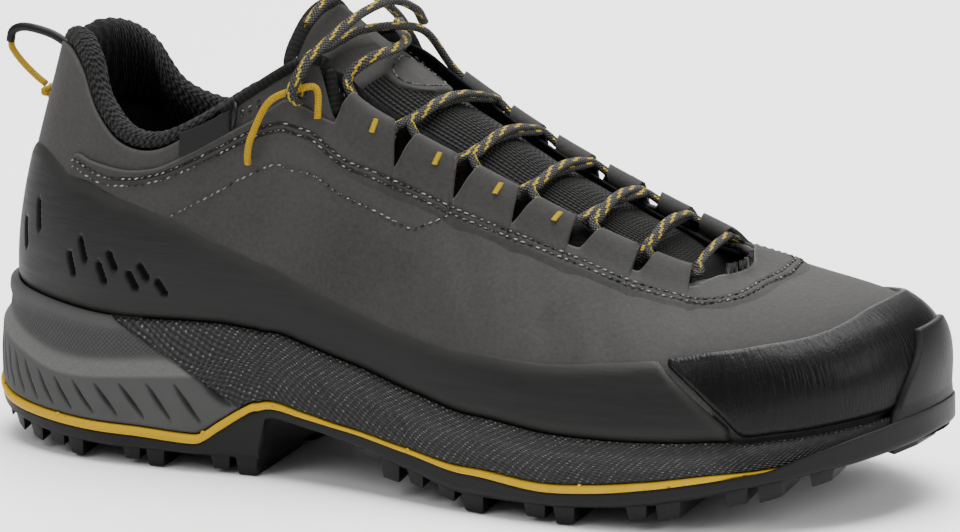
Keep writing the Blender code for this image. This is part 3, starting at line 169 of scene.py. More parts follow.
# Upper sections, from the heel round the outer side, the toe and the inner side: place on the outline, height
# zone, top edge (of length, half width and zone height), lower pull (outward, up) and upper pull (forward,
# outward, down)
UPPER = [
    (0, "collar", 0.075, 0.000, 0.978, -0.009, 0.190, -0.024, 0.000, -0.220),
    (1, "collar", 0.082, -0.151, 0.996, 0.006, 0.190, -0.020, -0.075, -0.224),
    (2, "collar", 0.105, -0.283, 0.991, 0.038, 0.172, -0.017, -0.132, -0.207),
    (2.5, "collar", 0.129, -0.396, 0.948, 0.066, 0.155, -0.010, -0.132, -0.181),
    (3, "collar", 0.155, -0.509, 0.858, 0.085, 0.147, -0.003, -0.113, -0.155),
    (3.5, "collar", 0.190, -0.604, 0.797, 0.094, 0.138, 0.000, -0.075, -0.138),
    (4, "collar", 0.231, -0.632, 0.789, 0.094, 0.138, 0.000, -0.066, -0.138),
    (4.5, "collar", 0.276, -0.613, 0.845, 0.094, 0.155, 0.000, -0.075, -0.155),
    (5, "collar", 0.333, -0.557, 0.944, 0.085, 0.172, 0.000, -0.104, -0.190),
    (5.4, "instep", 0.381, -0.472, 1.000, 0.075, 0.186, 0.000, -0.132, -0.203),
    (5.6, "instep", 0.401, -0.425, 0.996, 0.066, 0.195, 0.000, -0.151, -0.203),
    (6, "instep", 0.442, -0.415, 0.907, 0.057, 0.203, 0.000, -0.170, -0.186),
    (6.5, "instep", 0.500, -0.387, 0.831, 0.053, 0.212, 0.000, -0.208, -0.161),
    (7, "instep", 0.558, -0.358, 0.763, 0.047, 0.220, 0.000, -0.245, -0.144),
    (8, "toe", 0.670, -0.302, 1.202, 0.047, 0.403, 0.000, -0.302, -0.145),
    (9, "toe", 0.752, -0.217, 1.040, 0.047, 0.419, 0.017, -0.377, -0.113),
    (10, "toe", 0.776, -0.142, 1.013, 0.075, 0.419, 0.048, -0.415, -0.097),
    (11, "toe", 0.784, -0.075, 1.003, 0.094, 0.419, 0.109, -0.302, -0.081),
    (12, "toe", 0.787, -0.019, 1.000, 0.104, 0.468, 0.143, -0.151, -0.073),
    (13, "toe", 0.789, 0.038, 1.003, 0.104, 0.500, 0.163, 0.057, -0.073),
    (14, "toe", 0.791, 0.104, 1.013, 0.104, 0.484, 0.150, 0.151, -0.073),
    (15, "toe", 0.789, 0.170, 1.032, 0.094, 0.452, 0.109, 0.245, -0.081),
    (16, "toe", 0.779, 0.236, 1.065, 0.075, 0.419, 0.058, 0.340, -0.097),
    (17, "toe", 0.748, 0.292, 1.113, 0.057, 0.419, 0.017, 0.321, -0.097),
    (18, "toe", 0.673, 0.340, 1.242, 0.057, 0.403, 0.000, 0.283, -0.145),
    (19, "instep", 0.565, 0.387, 0.771, 0.075, 0.203, 0.000, 0.245, -0.144),
    (20, "instep", 0.466, 0.415, 0.911, 0.094, 0.186, 0.000, 0.170, -0.186),
    (20.4, "instep", 0.412, 0.434, 1.000, 0.094, 0.186, 0.000, 0.151, -0.203),
    (20.6, "instep", 0.388, 0.472, 1.008, 0.094, 0.178, 0.000, 0.132, -0.203),
    (21, "collar", 0.344, 0.528, 0.948, 0.094, 0.172, 0.000, 0.094, -0.172),
    (21.5, "collar", 0.286, 0.585, 0.841, 0.094, 0.155, 0.000, 0.075, -0.147),
    (22, "collar", 0.231, 0.604, 0.776, 0.094, 0.138, 0.000, 0.066, -0.129),
    (22.5, "collar", 0.194, 0.594, 0.776, 0.094, 0.138, 0.000, 0.075, -0.129),
    (23, "collar", 0.156, 0.528, 0.823, 0.085, 0.138, -0.003, 0.104, -0.147),
    (23.5, "collar", 0.133, 0.425, 0.931, 0.066, 0.155, -0.010, 0.132, -0.181),
    (24, "collar", 0.112, 0.292, 0.987, 0.047, 0.172, -0.017, 0.132, -0.207),
    (25, "collar", 0.087, 0.151, 0.996, 0.019, 0.190, -0.020, 0.075, -0.224),
]

# Upper edge of the film overlay: place on the outline, row up the wall
FILM_EDGE = [
    (0.0, 0.575),
    (1.0, 0.600),
    (2.0, 0.620),
    (2.6, 0.610),
    (3.1, 0.680),
    (3.7, 0.700),
    (4.16, 0.610),
    (4.65, 0.420),
    (5.1, 0.300),
    (5.6, 0.230),
    (6.3, 0.220),
    (7.3, 0.250),
    (8.0, 0.290),
    (8.66, 0.345),
    (9.0, 0.370),
    (9.15, 0.300),
    (9.36, 0.200),
    (9.68, 0.070),
    (9.75, 0.045),
]

# Toe cap: place on the outline, lower and upper edge as rows up the wall
CAP_EDGES = [
    (9.10, 0.355, 0.378),
    (9.36, 0.238, 0.400),
    (9.68, 0.093, 0.424),
    (9.90, 0.020, 0.435),
    (10.5, 0.020, 0.463),
    (11.0, 0.020, 0.481),
    (11.6, 0.020, 0.509),
    (12.3, 0.020, 0.545),
    (13.0, 0.020, 0.557),
]

# Facing that carries the lace tabs: place on the outline, lower and upper edge as rows up the wall
FACING_BACK = [
    (2.66, 0.640, 0.655),
    (2.80, 0.660, 0.735),
    (3.00, 0.685, 0.768),
    (3.50, 0.745, 0.853),
    (4.00, 0.790, 0.893),
    (4.50, 0.782, 0.897),
    (5.03, 0.758, 0.880),
    (5.28, 0.740, 0.890),
    (5.40, 0.700, 0.850),
    (5.60, 0.665, 0.818),
    (5.80, 0.670, 0.840),
]
FACING_FRONT = [
    (9.75, 0.700, 0.915),
    (10.0, 0.700, 0.940),
    (10.5, 0.740, 0.970),
    (11.0, 0.780, 0.975),
    (11.5, 0.810, 0.975),
    (12.0, 0.830, 0.975),
    (12.5, 0.845, 0.975),
    (13.0, 0.850, 0.975),
]

# Lace tabs, ankle to toe: first and last place, counted on the outer side, and row of the notch after it
TABS_OUTER = [
    (5.91, 6.28, 0.821),
    (6.48, 6.81, 0.825),
    (7.02, 7.33, 0.839),
    (7.54, 7.83, 0.860),
    (8.14, 8.47, 0.870),
    (8.74, 9.28, 0.900),
]
TABS_INNER = [
    (6.04, 6.36, 0.821),
    (6.56, 6.86, 0.825),
    (7.07, 7.37, 0.839),
    (7.58, 7.87, 0.860),
    (8.16, 8.49, 0.870),
    (8.76, 9.30, 0.900),
]

# Vent slots in the film: place on the outline, upper and lower end as rows up the wall
SLOTS = [
    (0.95, 0.46, 0.34),
    (2.20, 0.42, 0.31),
    (3.06, 0.39, 0.29),
    (3.45, 0.38, 0.29),
    (3.81, 0.335, 0.255),
    (1.80, 0.31, 0.20),
    (2.88, 0.29, 0.19),
    (3.31, 0.30, 0.20),
    (3.67, 0.285, 0.19),
    (3.98, 0.245, 0.165),
]

# Edge lugs: first and last place (of the length), share of the half width left free at the middle, and lift
EDGE_LUGS = [
    (0.018, 0.034, 0.10, 0.0000),
    (0.042, 0.062, 0.28, 0.0000),
    (0.071, 0.092, 0.36, 0.0004),
    (0.101, 0.123, 0.52, 0.0016),
    (0.127, 0.148, 0.30, 0.0000),
    (0.194, 0.215, 0.52, 0.0014),
    (0.220, 0.242, 0.30, 0.0000),
    (0.292, 0.314, 0.52, 0.0010),
    (0.319, 0.344, 0.06, 0.0000),
    (0.487, 0.512, 0.58, 0.0000),
    (0.520, 0.541, 0.66, 0.0010),
    (0.556, 0.578, 0.66, 0.0015),
    (0.585, 0.611, 0.48, 0.0000),
    (0.655, 0.680, 0.66, 0.0012),
    (0.687, 0.711, 0.48, 0.0000),
    (0.762, 0.784, 0.66, 0.0010),
    (0.791, 0.816, 0.46, 0.0000),
    (0.855, 0.876, 0.62, 0.0008),
    (0.883, 0.905, 0.42, 0.0000),
    (0.925, 0.944, 0.36, 0.0000),
]

# Middle lugs: place and side offset, half length and half width, as shares of the length and the half width
MIDDLE_LUGS = [
    (0.075, 0.00, 0.0187, 0.189),
    (0.170, 0.00, 0.0204, 0.236),
    (0.262, 0.00, 0.0204, 0.236),
    (0.530, -0.25, 0.0204, 0.123),
    (0.530, 0.20, 0.0204, 0.123),
    (0.600, 0.00, 0.0238, 0.151),
    (0.645, -0.32, 0.0204, 0.123),
    (0.645, 0.28, 0.0204, 0.123),
    (0.710, 0.00, 0.0238, 0.151),
    (0.752, -0.32, 0.0204, 0.123),
    (0.752, 0.30, 0.0204, 0.123),
    (0.815, 0.02, 0.0238, 0.151),
    (0.860, -0.22, 0.0187, 0.113),
    (0.860, 0.26, 0.0187, 0.113),
    (0.920, 0.06, 0.0187, 0.160),
    (0.968, 0.08, 0.0153, 0.245),
]

# Middle line of the tongue: share of the length, height (of the instep), edge places or free half widths
TONGUE_UNDER = [
    (0.816, 0.483, 0.170, 0.190),
    (0.779, 0.497, 0.190, 0.210),
]
TONGUE_THROAT = [
    (0.751, 0.533, 9.0),
    (0.713, 0.585, 8.5),
    (0.670, 0.640, 8.0),
    (0.616, 0.708, 7.5),
    (0.561, 0.784, 7.0),
    (0.508, 0.856, 6.5),
    (0.462, 0.925, 6.0),
    (0.425, 0.990, 5.6),
]
TONGUE_TOP = [
    (0.397, 1.045, 0.400, 0.400, 0.085, 0.010),
    (0.379, 1.085, 0.410, 0.400, 0.125, 0.014),
    (0.368, 1.106, 0.380, 0.370, 0.115, 0.012),
]

# Routes of the lace above its top tabs: shares of the length, of half the width and of the instep's height
TOP_LACE_A = [
    (0.4456, 0.274, 1.0254),
    (0.4303, 0.094, 1.0525),
    (0.4099, -0.113, 1.0542),
    (0.3963, -0.302, 1.0297),
    (0.3898, -0.453, 1.0220),
    (0.3874, -0.525, 0.9958),
    (0.3874, -0.542, 0.9559),
    (0.3874, -0.558, 0.9288),
    (0.3874, -0.606, 0.9186),
    (0.3874, -0.649, 0.9288),
    (0.3884, -0.672, 0.9559),
    (0.3963, -0.585, 1.0127),
    (0.4054, -0.396, 1.0576),
    (0.4150, -0.151, 1.0983),
    (0.4286, 0.066, 1.1153),
    (0.4371, 0.245, 1.0847),
    (0.4337, 0.377, 1.0407),
]
TOP_LACE_B = [
    (0.4371, -0.283, 1.0051),
    (0.4439, -0.075, 1.0119),
    (0.4354, 0.151, 1.0136),
    (0.4133, 0.321, 1.0220),
    (0.3986, 0.462, 1.0288),
    (0.3942, 0.532, 1.0017),
    (0.3929, 0.545, 0.9627),
    (0.3929, 0.562, 0.9356),
    (0.3929, 0.609, 0.9254),
    (0.3929, 0.655, 0.9356),
    (0.3918, 0.675, 0.9661),
    (0.3884, 0.575, 1.0297),
    (0.3850, 0.377, 1.0898),
    (0.3830, 0.113, 1.1373),
    (0.3796, -0.151, 1.1271),
    (0.3735, -0.340, 1.0814),
]

# Yellow loops: top as shares like a lace's, and feet as place, row and lift
LOOP_TOPS = ((0.3874, -0.606, 0.9483), (0.3929, 0.609, 0.9551))
LOOP_FEET = [
    (5.00, 0.715, 0.0016),
    (5.02, 0.750, 0.0032),
    (5.06, 0.810, 0.0036),
    (5.20, 0.900, 0.0046),
]
LOOP_RETURN = [
    (5.56, 0.900, 0.0046),
    (5.60, 0.805, 0.0032),
]

# Pull loop: shares of its reach, from the top of the heel
PULL_CORD = [
    (-0.985, 0.0, -0.091),
    (-0.921, 0.0, -0.210),
    (-0.793, 0.0, -0.353),
    (-0.595, 0.0, -0.521),
    (-0.432, 0.0, -0.635),
]
PULL_SLEEVE = [
    (-0.032, 0.0, -0.030),
    (-0.249, 0.0, 0.086),
    (-0.496, 0.0, 0.156),
    (-0.768, 0.0, 0.185),
    (-0.951, 0.0, 0.116),
    (-1.000, 0.0, -0.042),
]

UP = np.array([0.0, 0.0, 1.0])


def unit(vectors):
    return vectors / np.maximum(np.linalg.norm(vectors, axis=-1, keepdims=True), 1e-12)


def ramp(value, start, end):
    """0 before the start and 1 after the end, with a soft turn between them."""
    f = np.clip((np.asarray(value, float) - start) / (end - start), 0, 1)
    return f * f * (3 - 2 * f)


def bell(value, middle, width):
    """1 at the middle, falling off smoothly on both sides."""
    return np.exp(-(((value - middle) / width) ** 2))


def cubic(f, start, leaving, end, arriving):
    """A cubic from one value to another, with the slopes that it leaves and arrives with."""
    return (
        (2 * f**3 - 3 * f**2 + 1) * start
        + (f**3 - 2 * f**2 + f) * leaving
        + (3 * f**2 - 2 * f**3) * end
        + (f**3 - f**2) * arriving
    )


def smooth(rows, column, at):
    """Reads a column of a table at places between its rows, with no overshoot."""
    places = np.array([row[0] for row in rows], float)
    values = np.array([row[column] for row in rows], float)
    at = np.clip(at, places[0], places[-1])
    slopes = np.diff(values) / np.diff(places)
    same = slopes[:-1] * slopes[1:] > 0
    total = np.where(same, slopes[:-1] + slopes[1:], 1)
    inner = np.where(same, 2 * slopes[:-1] * slopes[1:] / total, 0)
    tangents = np.concatenate([slopes[:1], inner, slopes[-1:]])
    i = np.clip(np.searchsorted(places, at, "right") - 1, 0, len(places) - 2)
    step = places[i + 1] - places[i]
    f = (at - places[i]) / step
    return cubic(f, values[i], step * tangents[i], values[i + 1], step * tangents[i + 1])


def round_trip(places, rows, at):
    """Reads rows of numbers at places on a closed loop, as one smooth curve."""
    at = np.mod(at, ROUND)
    places = np.array([places[-1] - ROUND, *places, places[0] + ROUND, places[1] + ROUND], float)
    rows = np.vstack([rows[-1:], rows, rows[:2]])
    i = np.clip(np.searchsorted(places, at, "right") - 1, 1, len(places) - 3)
    step = (places[i + 1] - places[i])[..., None]
    f = (at - places[i])[..., None] / step
    start = (rows[i + 1] - rows[i - 1]) / (places[i + 1] - places[i - 1])[..., None] * step
    end = (rows[i + 2] - rows[i]) / (places[i + 2] - places[i])[..., None] * step
    return cubic(f, rows[i], start, rows[i + 1], end)


def through(points, at):
    """Points on one smooth curve through the given ones, which at counts from 0."""
    points = np.asarray(points, float)
    ends = np.concatenate([2 * points[:1] - points[1:2], points, 2 * points[-1:] - points[-2:-1]])
    i = np.clip(np.floor(at).astype(int), 0, len(points) - 2)
    f = (np.asarray(at) - i).reshape(np.shape(at) + (1,) * (points.ndim - 1))
    a, b, c, d = ends[i], ends[i + 1], ends[i + 2], ends[i + 3]
    return 0.5 * (2 * b + (c - a) * f + (2 * a - 5 * b + 4 * c - d) * f**2 + (3 * b - a - 3 * c + d) * f**3)


def run(points):
    """The length that a route has run at each of its points."""
    return np.concatenate([[0], np.cumsum(np.linalg.norm(np.diff(points, axis=0), axis=1))])


def along_route(points, at):
    """The points of a route at lengths along it."""
    return np.stack([np.interp(at, run(points), points[:, k]) for k in range(3)], axis=-1)


def even_route(points, step):
    """The smooth curve through some points, read at even steps."""
    fine = through(points, np.linspace(0, len(points) - 1, 24 * len(points)))
    length = run(fine)[-1]
    return along_route(fine, np.linspace(0, length, max(3, round(length / step) + 1)))


def route_length(points):
    return float(np.linalg.norm(np.diff(points, axis=0), axis=1).sum())


OUTLINE_POINTS = np.array(
    [(x * LENGTH, -outer * HALF_WIDTH) for _, x, outer, _ in OUTLINE]
    + [(x * LENGTH, inner * HALF_WIDTH) for _, x, _, inner in OUTLINE[-2:0:-1]]
)


def outline(place, offset=0.0):
    """Points of the sole's outline, moved outwards, and the outward direction there."""
    place = np.asarray(place, float)
    at = round_trip(range(ROUND), OUTLINE_POINTS, place)
    ahead = round_trip(range(ROUND), OUTLINE_POINTS, place + 0.01)
    behind = round_trip(range(ROUND), OUTLINE_POINTS, place - 0.01)
    along = unit(ahead - behind)
    outward = np.stack([along[..., 1], -along[..., 0]], -1)
    return at + outward * np.asarray(offset, float)[..., None], outward


def sole(x):
    """Heights and insets of the sole's layers at distances from the heel, in metres."""
    share = {name: smooth(SOLE, k + 1, x / LENGTH) for k, name in enumerate(SOLE_COLUMNS)}
    tread = share["tread"] * TOE_SPRING
    floor = tread + share["outsole"] * OUTSOLE_THICKNESS
    accent = floor + CLEARANCE * 2
    midsole = accent + share["accent"] * ACCENT_THICKNESS + CLEARANCE
    footbed = midsole + share["midsole"] * MIDSOLE_THICKNESS
    inset = share["inset"] * RIM_INSET
    return {
        "tread": tread,
        "plate": floor - share["plate"] * OUTSOLE_THICKNESS,
        "floor": floor,
        "edge": floor + CLEARANCE + share["wall"] * TOE_WALL_HEIGHT,
        "accent": accent,
        "accent_top": midsole - CLEARANCE,
        "midsole": midsole,
        "footbed": footbed,
        "rim": footbed + share["cradle"] * CRADLE_HEIGHT,
        "inset": inset,
        "rim_in": inset + CRADLE_WALL,
        "foot_in": inset + CRADLE_WALL + share["tuck"] * FOOT_TUCK,
        "base": share["base"] * (TOE_WALL + CLEARANCE),
        "crease": smooth(SIDE, 1, x / LENGTH),
        "step": smooth(SIDE, 2, x / LENGTH),
    }


def on_sole(place, offset_of, height_of, narrow=1.0):
    """Points of a sole layer, narrowed towards its middle line where it closes under or over the foot."""
    place = np.asarray(place, float)
    at, _ = outline(place)
    at, _ = outline(place, offset_of(sole(at[..., 0])) * np.ones_like(place))
    other, _ = outline(ROUND - place)
    middle = (at[..., 1] + other[..., 1]) / 2
    y = middle + (at[..., 1] - middle) * narrow
    return np.stack([at[..., 0], y, height_of(sole(at[..., 0]))], -1)


def section_sizes(zone):
    """What the shares of an upper section are shares of, in a height zone."""
    height = ZONE_HEIGHT[zone]
    return LENGTH, HALF_WIDTH, height, HALF_WIDTH, height, LENGTH, HALF_WIDTH, height


UPPER_PLACES = [row[0] for row in UPPER]
UPPER_ROWS = np.array([np.array(shares) * section_sizes(zone) for _, zone, *shares in UPPER])


def wall(place, row):
    """Points of the upper's outer face: row 0 is the rim of the sole, 1 the top edge."""
    _, outward = outline(place)
    rim = on_sole(place, lambda s: -s["rim_in"] - CLEARANCE, lambda s: s["rim"])
    foot = on_sole(place, lambda s: -s["foot_in"] - CLEARANCE, lambda s: s["footbed"] + CLEARANCE)
    read = round_trip(UPPER_PLACES, UPPER_ROWS, place)
    top = read[..., 0:3]
    low = rim + np.stack([outward[..., 0] * read[..., 3], outward[..., 1] * read[..., 3], read[..., 4]], -1)
    high = top + read[..., 5:8]
    v = row[..., None]
    rest = 1 - v
    curve = rim * rest**3 + low * 3 * v * rest**2 + high * 3 * v**2 * rest + top * v**3
    below = rim + (foot - rim) * -v
    above = top + (top - high) * 3 * (v - 1)
    return np.where(v < 0, below, np.where(v > 1, above, curve))


def skin(place, row, lift=0.0):
    """Points over the upper's outer face, lifted along its normal."""
    place, row, lift = np.broadcast_arrays(*[np.asarray(given, float) for given in (place, row, lift)])
    level = np.maximum(row, 0.0)
    along = wall(place + 0.02, level) - wall(place - 0.02, level)
    up = wall(place, level + 0.01) - wall(place, level)
    return wall(place, row) + unit(np.cross(along, up)) * lift[..., None]


def wall_length(place):
    """Length of the upper's face from the rim to its top edge."""
    place = np.asarray(place, float)
    levels = [wall(place, np.full_like(place, row)) for row in (0, 0.25, 0.5, 0.75, 1)]
    return sum(np.linalg.norm(b - a, axis=-1) for a, b in zip(levels, levels[1:]))


def pitch(place):
    """Length of one step along the outline's places, halfway up the wall."""
    place = np.asarray(place, float)
    half = np.full_like(place, 0.5)
    return np.linalg.norm(wall(place + 0.2, half) - wall(place - 0.2, half), axis=-1) / 0.4


def side_place(place):
    """The same place counted on the outer side, for what is alike on both."""
    place = np.mod(place, ROUND)
    return np.minimum(place, ROUND - place)


def on_side(place, inner):
    """A place counted on the outer side, or its twin on the inner side."""
    return ROUND - place if inner else place


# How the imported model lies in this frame: its accent layer against the same ring here
ring_places = np.linspace(0, ROUND, 521)
ring_at, _ = outline(ring_places)
ring_points, _ = outline(ring_places, ACCENT_PROUD - sole(ring_at[:, 0])["base"])
accent_low, accent_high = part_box("accent_layer")
SHIFT = np.zeros(3)
for k in range(2):
    SHIFT[k] = (accent_low[k] + accent_high[k] - ring_points[:, k].min() - ring_points[:, k].max()) / 2

STUDIO_TONE = 0.33


def colour(red, green, blue):
    """A colour from the screen's 0 to 255 as the shader's numbers, toned down for the studio's light."""
    plain = (((c / 255 + 0.055) / 1.055) ** 2.4 if c > 10 else c / 3295 for c in (red, green, blue))
    return tuple(c * STUDIO_TONE for c in plain) + (1,)


def grey(level):
    return colour(level, level, level)


class Value:
    """A number or colour inside a material. Python's operators on it add Math nodes."""

    def __init__(self, finish, socket):
        self.finish = finish
        self.socket = socket

    def math(self, operation, *others):
        return self.finish.node("Math", {"operation": operation}, dict(enumerate((self, *others))))

    def __add__(self, other):
        return self.math("ADD", other)

    def __sub__(self, other):
        return self.math("SUBTRACT", other)

    def __rsub__(self, other):
        return (self * -1) + other

    def __mul__(self, other):
        return self.math("MULTIPLY", other)

    def __truediv__(self, other):
        return self.math("DIVIDE", other)

    __radd__ = __add__
    __rmul__ = __mul__

    def above(self, level, softness):
        """0 under a level and 1 over it, with a soft step."""
        return ((self - level) / softness + 0.5).math("MINIMUM", 1).math("MAXIMUM", 0)


class Finish:
    """A material with one Principled shader, named for the record's slot that it belongs to."""

    def __init__(self, slot, name=None, gloss=0.2, **settings):
        self.slot = slot
        self.material = bpy.data.materials.new(name or slot)
        self.material.use_nodes = True
        self.tree = self.material.node_tree
        self.shader = self.tree.nodes["Principled BSDF"]
        self.shader.inputs["Specular IOR Level"].default_value = gloss
        for key, value in settings.items():
            self.shader.inputs[key.replace("_", " ")].default_value = value

    def node(self, kind, settings, inputs, output=0):
        """Adds a node: its settings first, then the values or links of its sockets."""
        made = self.tree.nodes.new("ShaderNode" + kind)
        for key, value in settings.items():
            setattr(made, key, value)
        for key, value in inputs.items():
            self.join(value, made.inputs[key])
        return Value(self, made.outputs[output])

    def join(self, value, socket):
        if isinstance(value, Value):
            self.tree.links.new(value.socket, socket)
        else:
            socket.default_value = value

    def place(self, scale=(1, 1, 1)):
        """Object coordinates, stretched for a pattern."""
        return self.node("Mapping", {}, {"Vector": self.node("TexCoord", {}, {}, "Object"), "Scale": scale})

    def along(self):
        """The piece's own map: metres along it and metres, or a share, across it."""
        at = self.node("UVMap", {}, {})
        parts = self.node("SeparateXYZ", {}, {0: at})
        return parts, Value(self, parts.socket.node.outputs[1])

    def noise(self, scale, detail=2.0, at=None):
        return self.node("TexNoise", {}, {"Vector": at or self.place(), "Scale": scale, "Detail": detail})

    def attribute(self, name):
        return self.node("Attribute", {"attribute_name": name}, {}, "Fac")

    def mix(self, factor, low, high):
        return self.node("Mix", {"data_type": "RGBA"}, {0: factor, 6: low, 7: high}, 2)

    def set(self, **inputs):
        for key, value in inputs.items():
            self.join(value, self.shader.inputs[key.replace("_", " ")])

    def bump(self, *layers):
        """Bump layers, each a height from 0 to 1 and its depth in metres."""
        normal = None
        for height, depth in layers:
            inputs = {"Height": height, "Distance": depth, "Strength": 1.0}
            if normal:
                inputs["Normal"] = normal
            normal = self.node("Bump", {}, inputs)
        self.set(Normal=normal)


def nubuck_finish(slot, level):
    """Brushed nubuck: a cloudy warm grey with a short nap, lighter along its edges: the raw cut edges' own tone
    and a painted highlight on the raised edges.
    """
    made = Finish(slot, gloss=0.16, Sheen_Weight=0.03, Sheen_Roughness=0.5)
    cloud = made.noise(20, 5)
    fleck = made.noise(900, 3)
    tone = cloud * 0.66 + fleck * 0.34
    dark, light = [colour(*[c * share for c in level]) for share in (0.80, 1.24)]
    base = made.mix(tone.above(0.5, 0.42), dark, light)
    # Lighter along the edges: partly the raw cut edge's tone, partly a painted highlight on the raised edge.
    base = made.mix(made.attribute("edge") * 0.45, base, colour(128, 128, 124))
    base = made.mix(made.attribute("seam") * 0.75, base, grey(22))
    made.set(Base_Color=base, Roughness=0.62 + cloud * 0.3)
    made.bump((made.noise(2600, 2), 0.00007), (made.noise(620, 3), 0.00010))
    return made


def film_finish():
    """Matt coated film, faintly brushed along the shoe; its vent slots are painted near black, the dark mesh
    under them deepened by painted shade.
    """
    made = Finish("matt_film", gloss=0.17)
    brushed = made.noise(60, 4, at=made.place(scale=(1, 1, 9)))
    fine = made.noise(1400, 2)
    base = made.mix(brushed.above(0.5, 0.6), grey(30), colour(47, 47, 46))
    base = made.mix(made.attribute("edge") * 0.8, base, colour(62, 62, 60))
    pit = made.attribute("pit")
    # Near black in the vent slots: the dark mesh under them, darkened further as painted shade inside the
    # slots.
    base = made.mix(pit.above(0.22, 0.2), base, grey(2))
    made.set(Base_Color=base, Roughness=0.46 + brushed * 0.2 + pit * 0.35)
    made.bump((fine, 0.00006), (brushed, 0.00016))
    return made


def cap_finish():
    """Glossy black toe rubber with a fine crinkle."""
    made = Finish("gloss_cap", gloss=0.12, Coat_Weight=0.05, Coat_Roughness=0.2)
    own = made.node("UVMap", {}, {})
    ribs = made.noise(1500, 2, at=made.node("Mapping", {}, {"Vector": own, "Scale": (1, 0.10, 1)}))
    broad = made.noise(60, 3)
    base = made.mix(broad, grey(6), grey(18))
    base = made.mix(made.attribute("edge") * 0.2, base, grey(50))
    made.set(Base_Color=base, Roughness=0.27 + broad * 0.12 + ribs * 0.12)
    made.bump((ribs, 0.00038), (made.noise(1700, 2), 0.00010))
    return made


def rubber_finish():
    """Moulded black sole rubber."""
    made = Finish("rubber", gloss=0.2)
    cloud = made.noise(70, 4)
    base = made.mix(cloud.above(0.5, 0.7), colour(9, 9, 10), grey(26))
    made.set(Base_Color=base, Roughness=0.42 + cloud * 0.25)
    made.bump((made.noise(1500, 3), 0.00010))
    return made


def accent_finish():
    """Yellow rubber line with small dirt marks."""
    made = Finish("yellow_rubber")
    cloud = made.noise(160, 4)
    base = made.mix(cloud.above(0.5, 0.8), colour(268, 212, 0), colour(288, 232, 2))
    base = made.mix(made.noise(700, 2).above(0.72, 0.1), base, colour(120, 92, 10))
    made.set(Base_Color=base, Roughness=0.5 + cloud * 0.2)
    made.bump((made.noise(1200, 2), 0.00010))
    return made


def foam_finish():
    """Grey foam: dotted above the crease, lighter and pebbled on it, smooth below, with painted shade in the
    slanted grooves.
    """
    made = Finish("grey_foam")
    cloud = made.noise(90, 3)
    along, up = made.along()
    band = made.attribute("band")
    upper = made.attribute("upper")
    dots = (along * 5400).math("SINE") * (up * 4200).math("SINE") * 0.5 + 0.5
    pebble = made.noise(1150, 1)
    base = made.mix(cloud.above(0.5, 0.7), grey(98), colour(112, 112, 111))
    base = made.mix(upper * (1 - dots) * 0.8, base, grey(64))
    base = made.mix(band * (0.45 + pebble * 0.55), base, colour(152, 152, 150))
    # The slanted grooves painted dark: painted shade inside them.
    base = made.mix(made.attribute("groove"), base, grey(20))
    made.set(Base_Color=base, Roughness=0.72 + cloud * 0.15)
    made.bump((dots * upper, 0.00022), (pebble * band, 0.00045), (made.noise(2000, 2), 0.00005))
    return made


def wrap_finish():
    """Woven relief moulded in dark rubber, its hollows painted darker as shade and its tops lighter, with small
    painted glints.
    """
    made = Finish("textured_rubber", gloss=0.3)
    along, up = made.along()
    wave = made.noise(90, 2)
    one = (along * 3500 + up * 900 + wave * 9).math("SINE")
    two = (up * 2000 - along * 500 + wave * 6).math("SINE")
    weave = (one * two) * 0.5 + 0.5
    # The tone follows the relief: painted shade in the weave's hollows, lighter on its tops.
    base = made.mix(weave.above(0.6, 0.3), grey(4), colour(48, 48, 47))
    # Painted glints on the highest points of the weave.
    base = made.mix(weave.above(0.86, 0.12) * made.noise(700, 1).above(0.56, 0.12), base, colour(150, 150, 147))
    made.set(Base_Color=base, Roughness=0.62 - weave * 0.2)
    made.bump((weave, 0.00062), (made.noise(1500, 2), 0.00010))
    return made


def knit_finish(slot, name, pitch_along, pitch_up, dark, light, depth=0.0005):
    """A chunky knit with small dark holes: the loops' tops painted lighter as highlights, the holes between
    them painted dark as shade.
    """
    made = Finish(slot, name, gloss=0.1, Sheen_Weight=0.04, Sheen_Roughness=0.5)
    along, up = made.along()
    a, b = 2 * math.pi / pitch_along, 2 * math.pi / pitch_up
    loops = (along * a + (up * b).math("SINE") * 0.9).math("SINE") * (up * b).math("SINE") * 0.5 + 0.5
    yarn = made.noise(1800, 3)
    # The tone follows the loops: painted highlights on their tops, painted shade in the holes.
    base = made.mix(loops.above(0.5, 0.5) * (0.5 + yarn * 0.5), colour(*dark), colour(*light))
    made.set(Base_Color=base, Roughness=0.8 + yarn * 0.15)
    made.bump((loops, depth), (yarn, depth * 0.4))
    return made


def webbing_finish():
    """Ribbed stretch webbing: the ribs are modelled, the weave across them is in the finish. The rib crests are
    painted light as highlights, the valleys black as shade.
    """
    made = Finish("webbing", gloss=0.16)
    along, up = made.along()
    rib = made.attribute("rib")
    beads = (up * 5200 + (along * 2000).math("SINE")).math("SINE") * 0.5 + 0.5
    # Painted highlights on the rib crests, broken by the weave; painted shade, black, in the valleys.
    tone = rib.above(0.55, 0.6) * (0.3 + beads * 0.7)
    base = made.mix(tone, grey(4), colour(76, 76, 74))
    made.set(Base_Color=base, Roughness=0.78 - rib * 0.15)
    made.bump((beads * rib, 0.00030), (made.noise(2500, 2), 0.00008))
    return made


# Rows of yellow dashes on the lace: place round it, and start along it, as shares of a turn and of a cycle
DASHES = [(0.15, 0.0), (0.22, 0.25), (0.29, 0.5), (0.36, 0.75)]
DASHES += [(0.65, 0.1), (0.72, 0.35), (0.79, 0.6), (0.86, 0.85)]
DASH_CYCLE = 0.0088


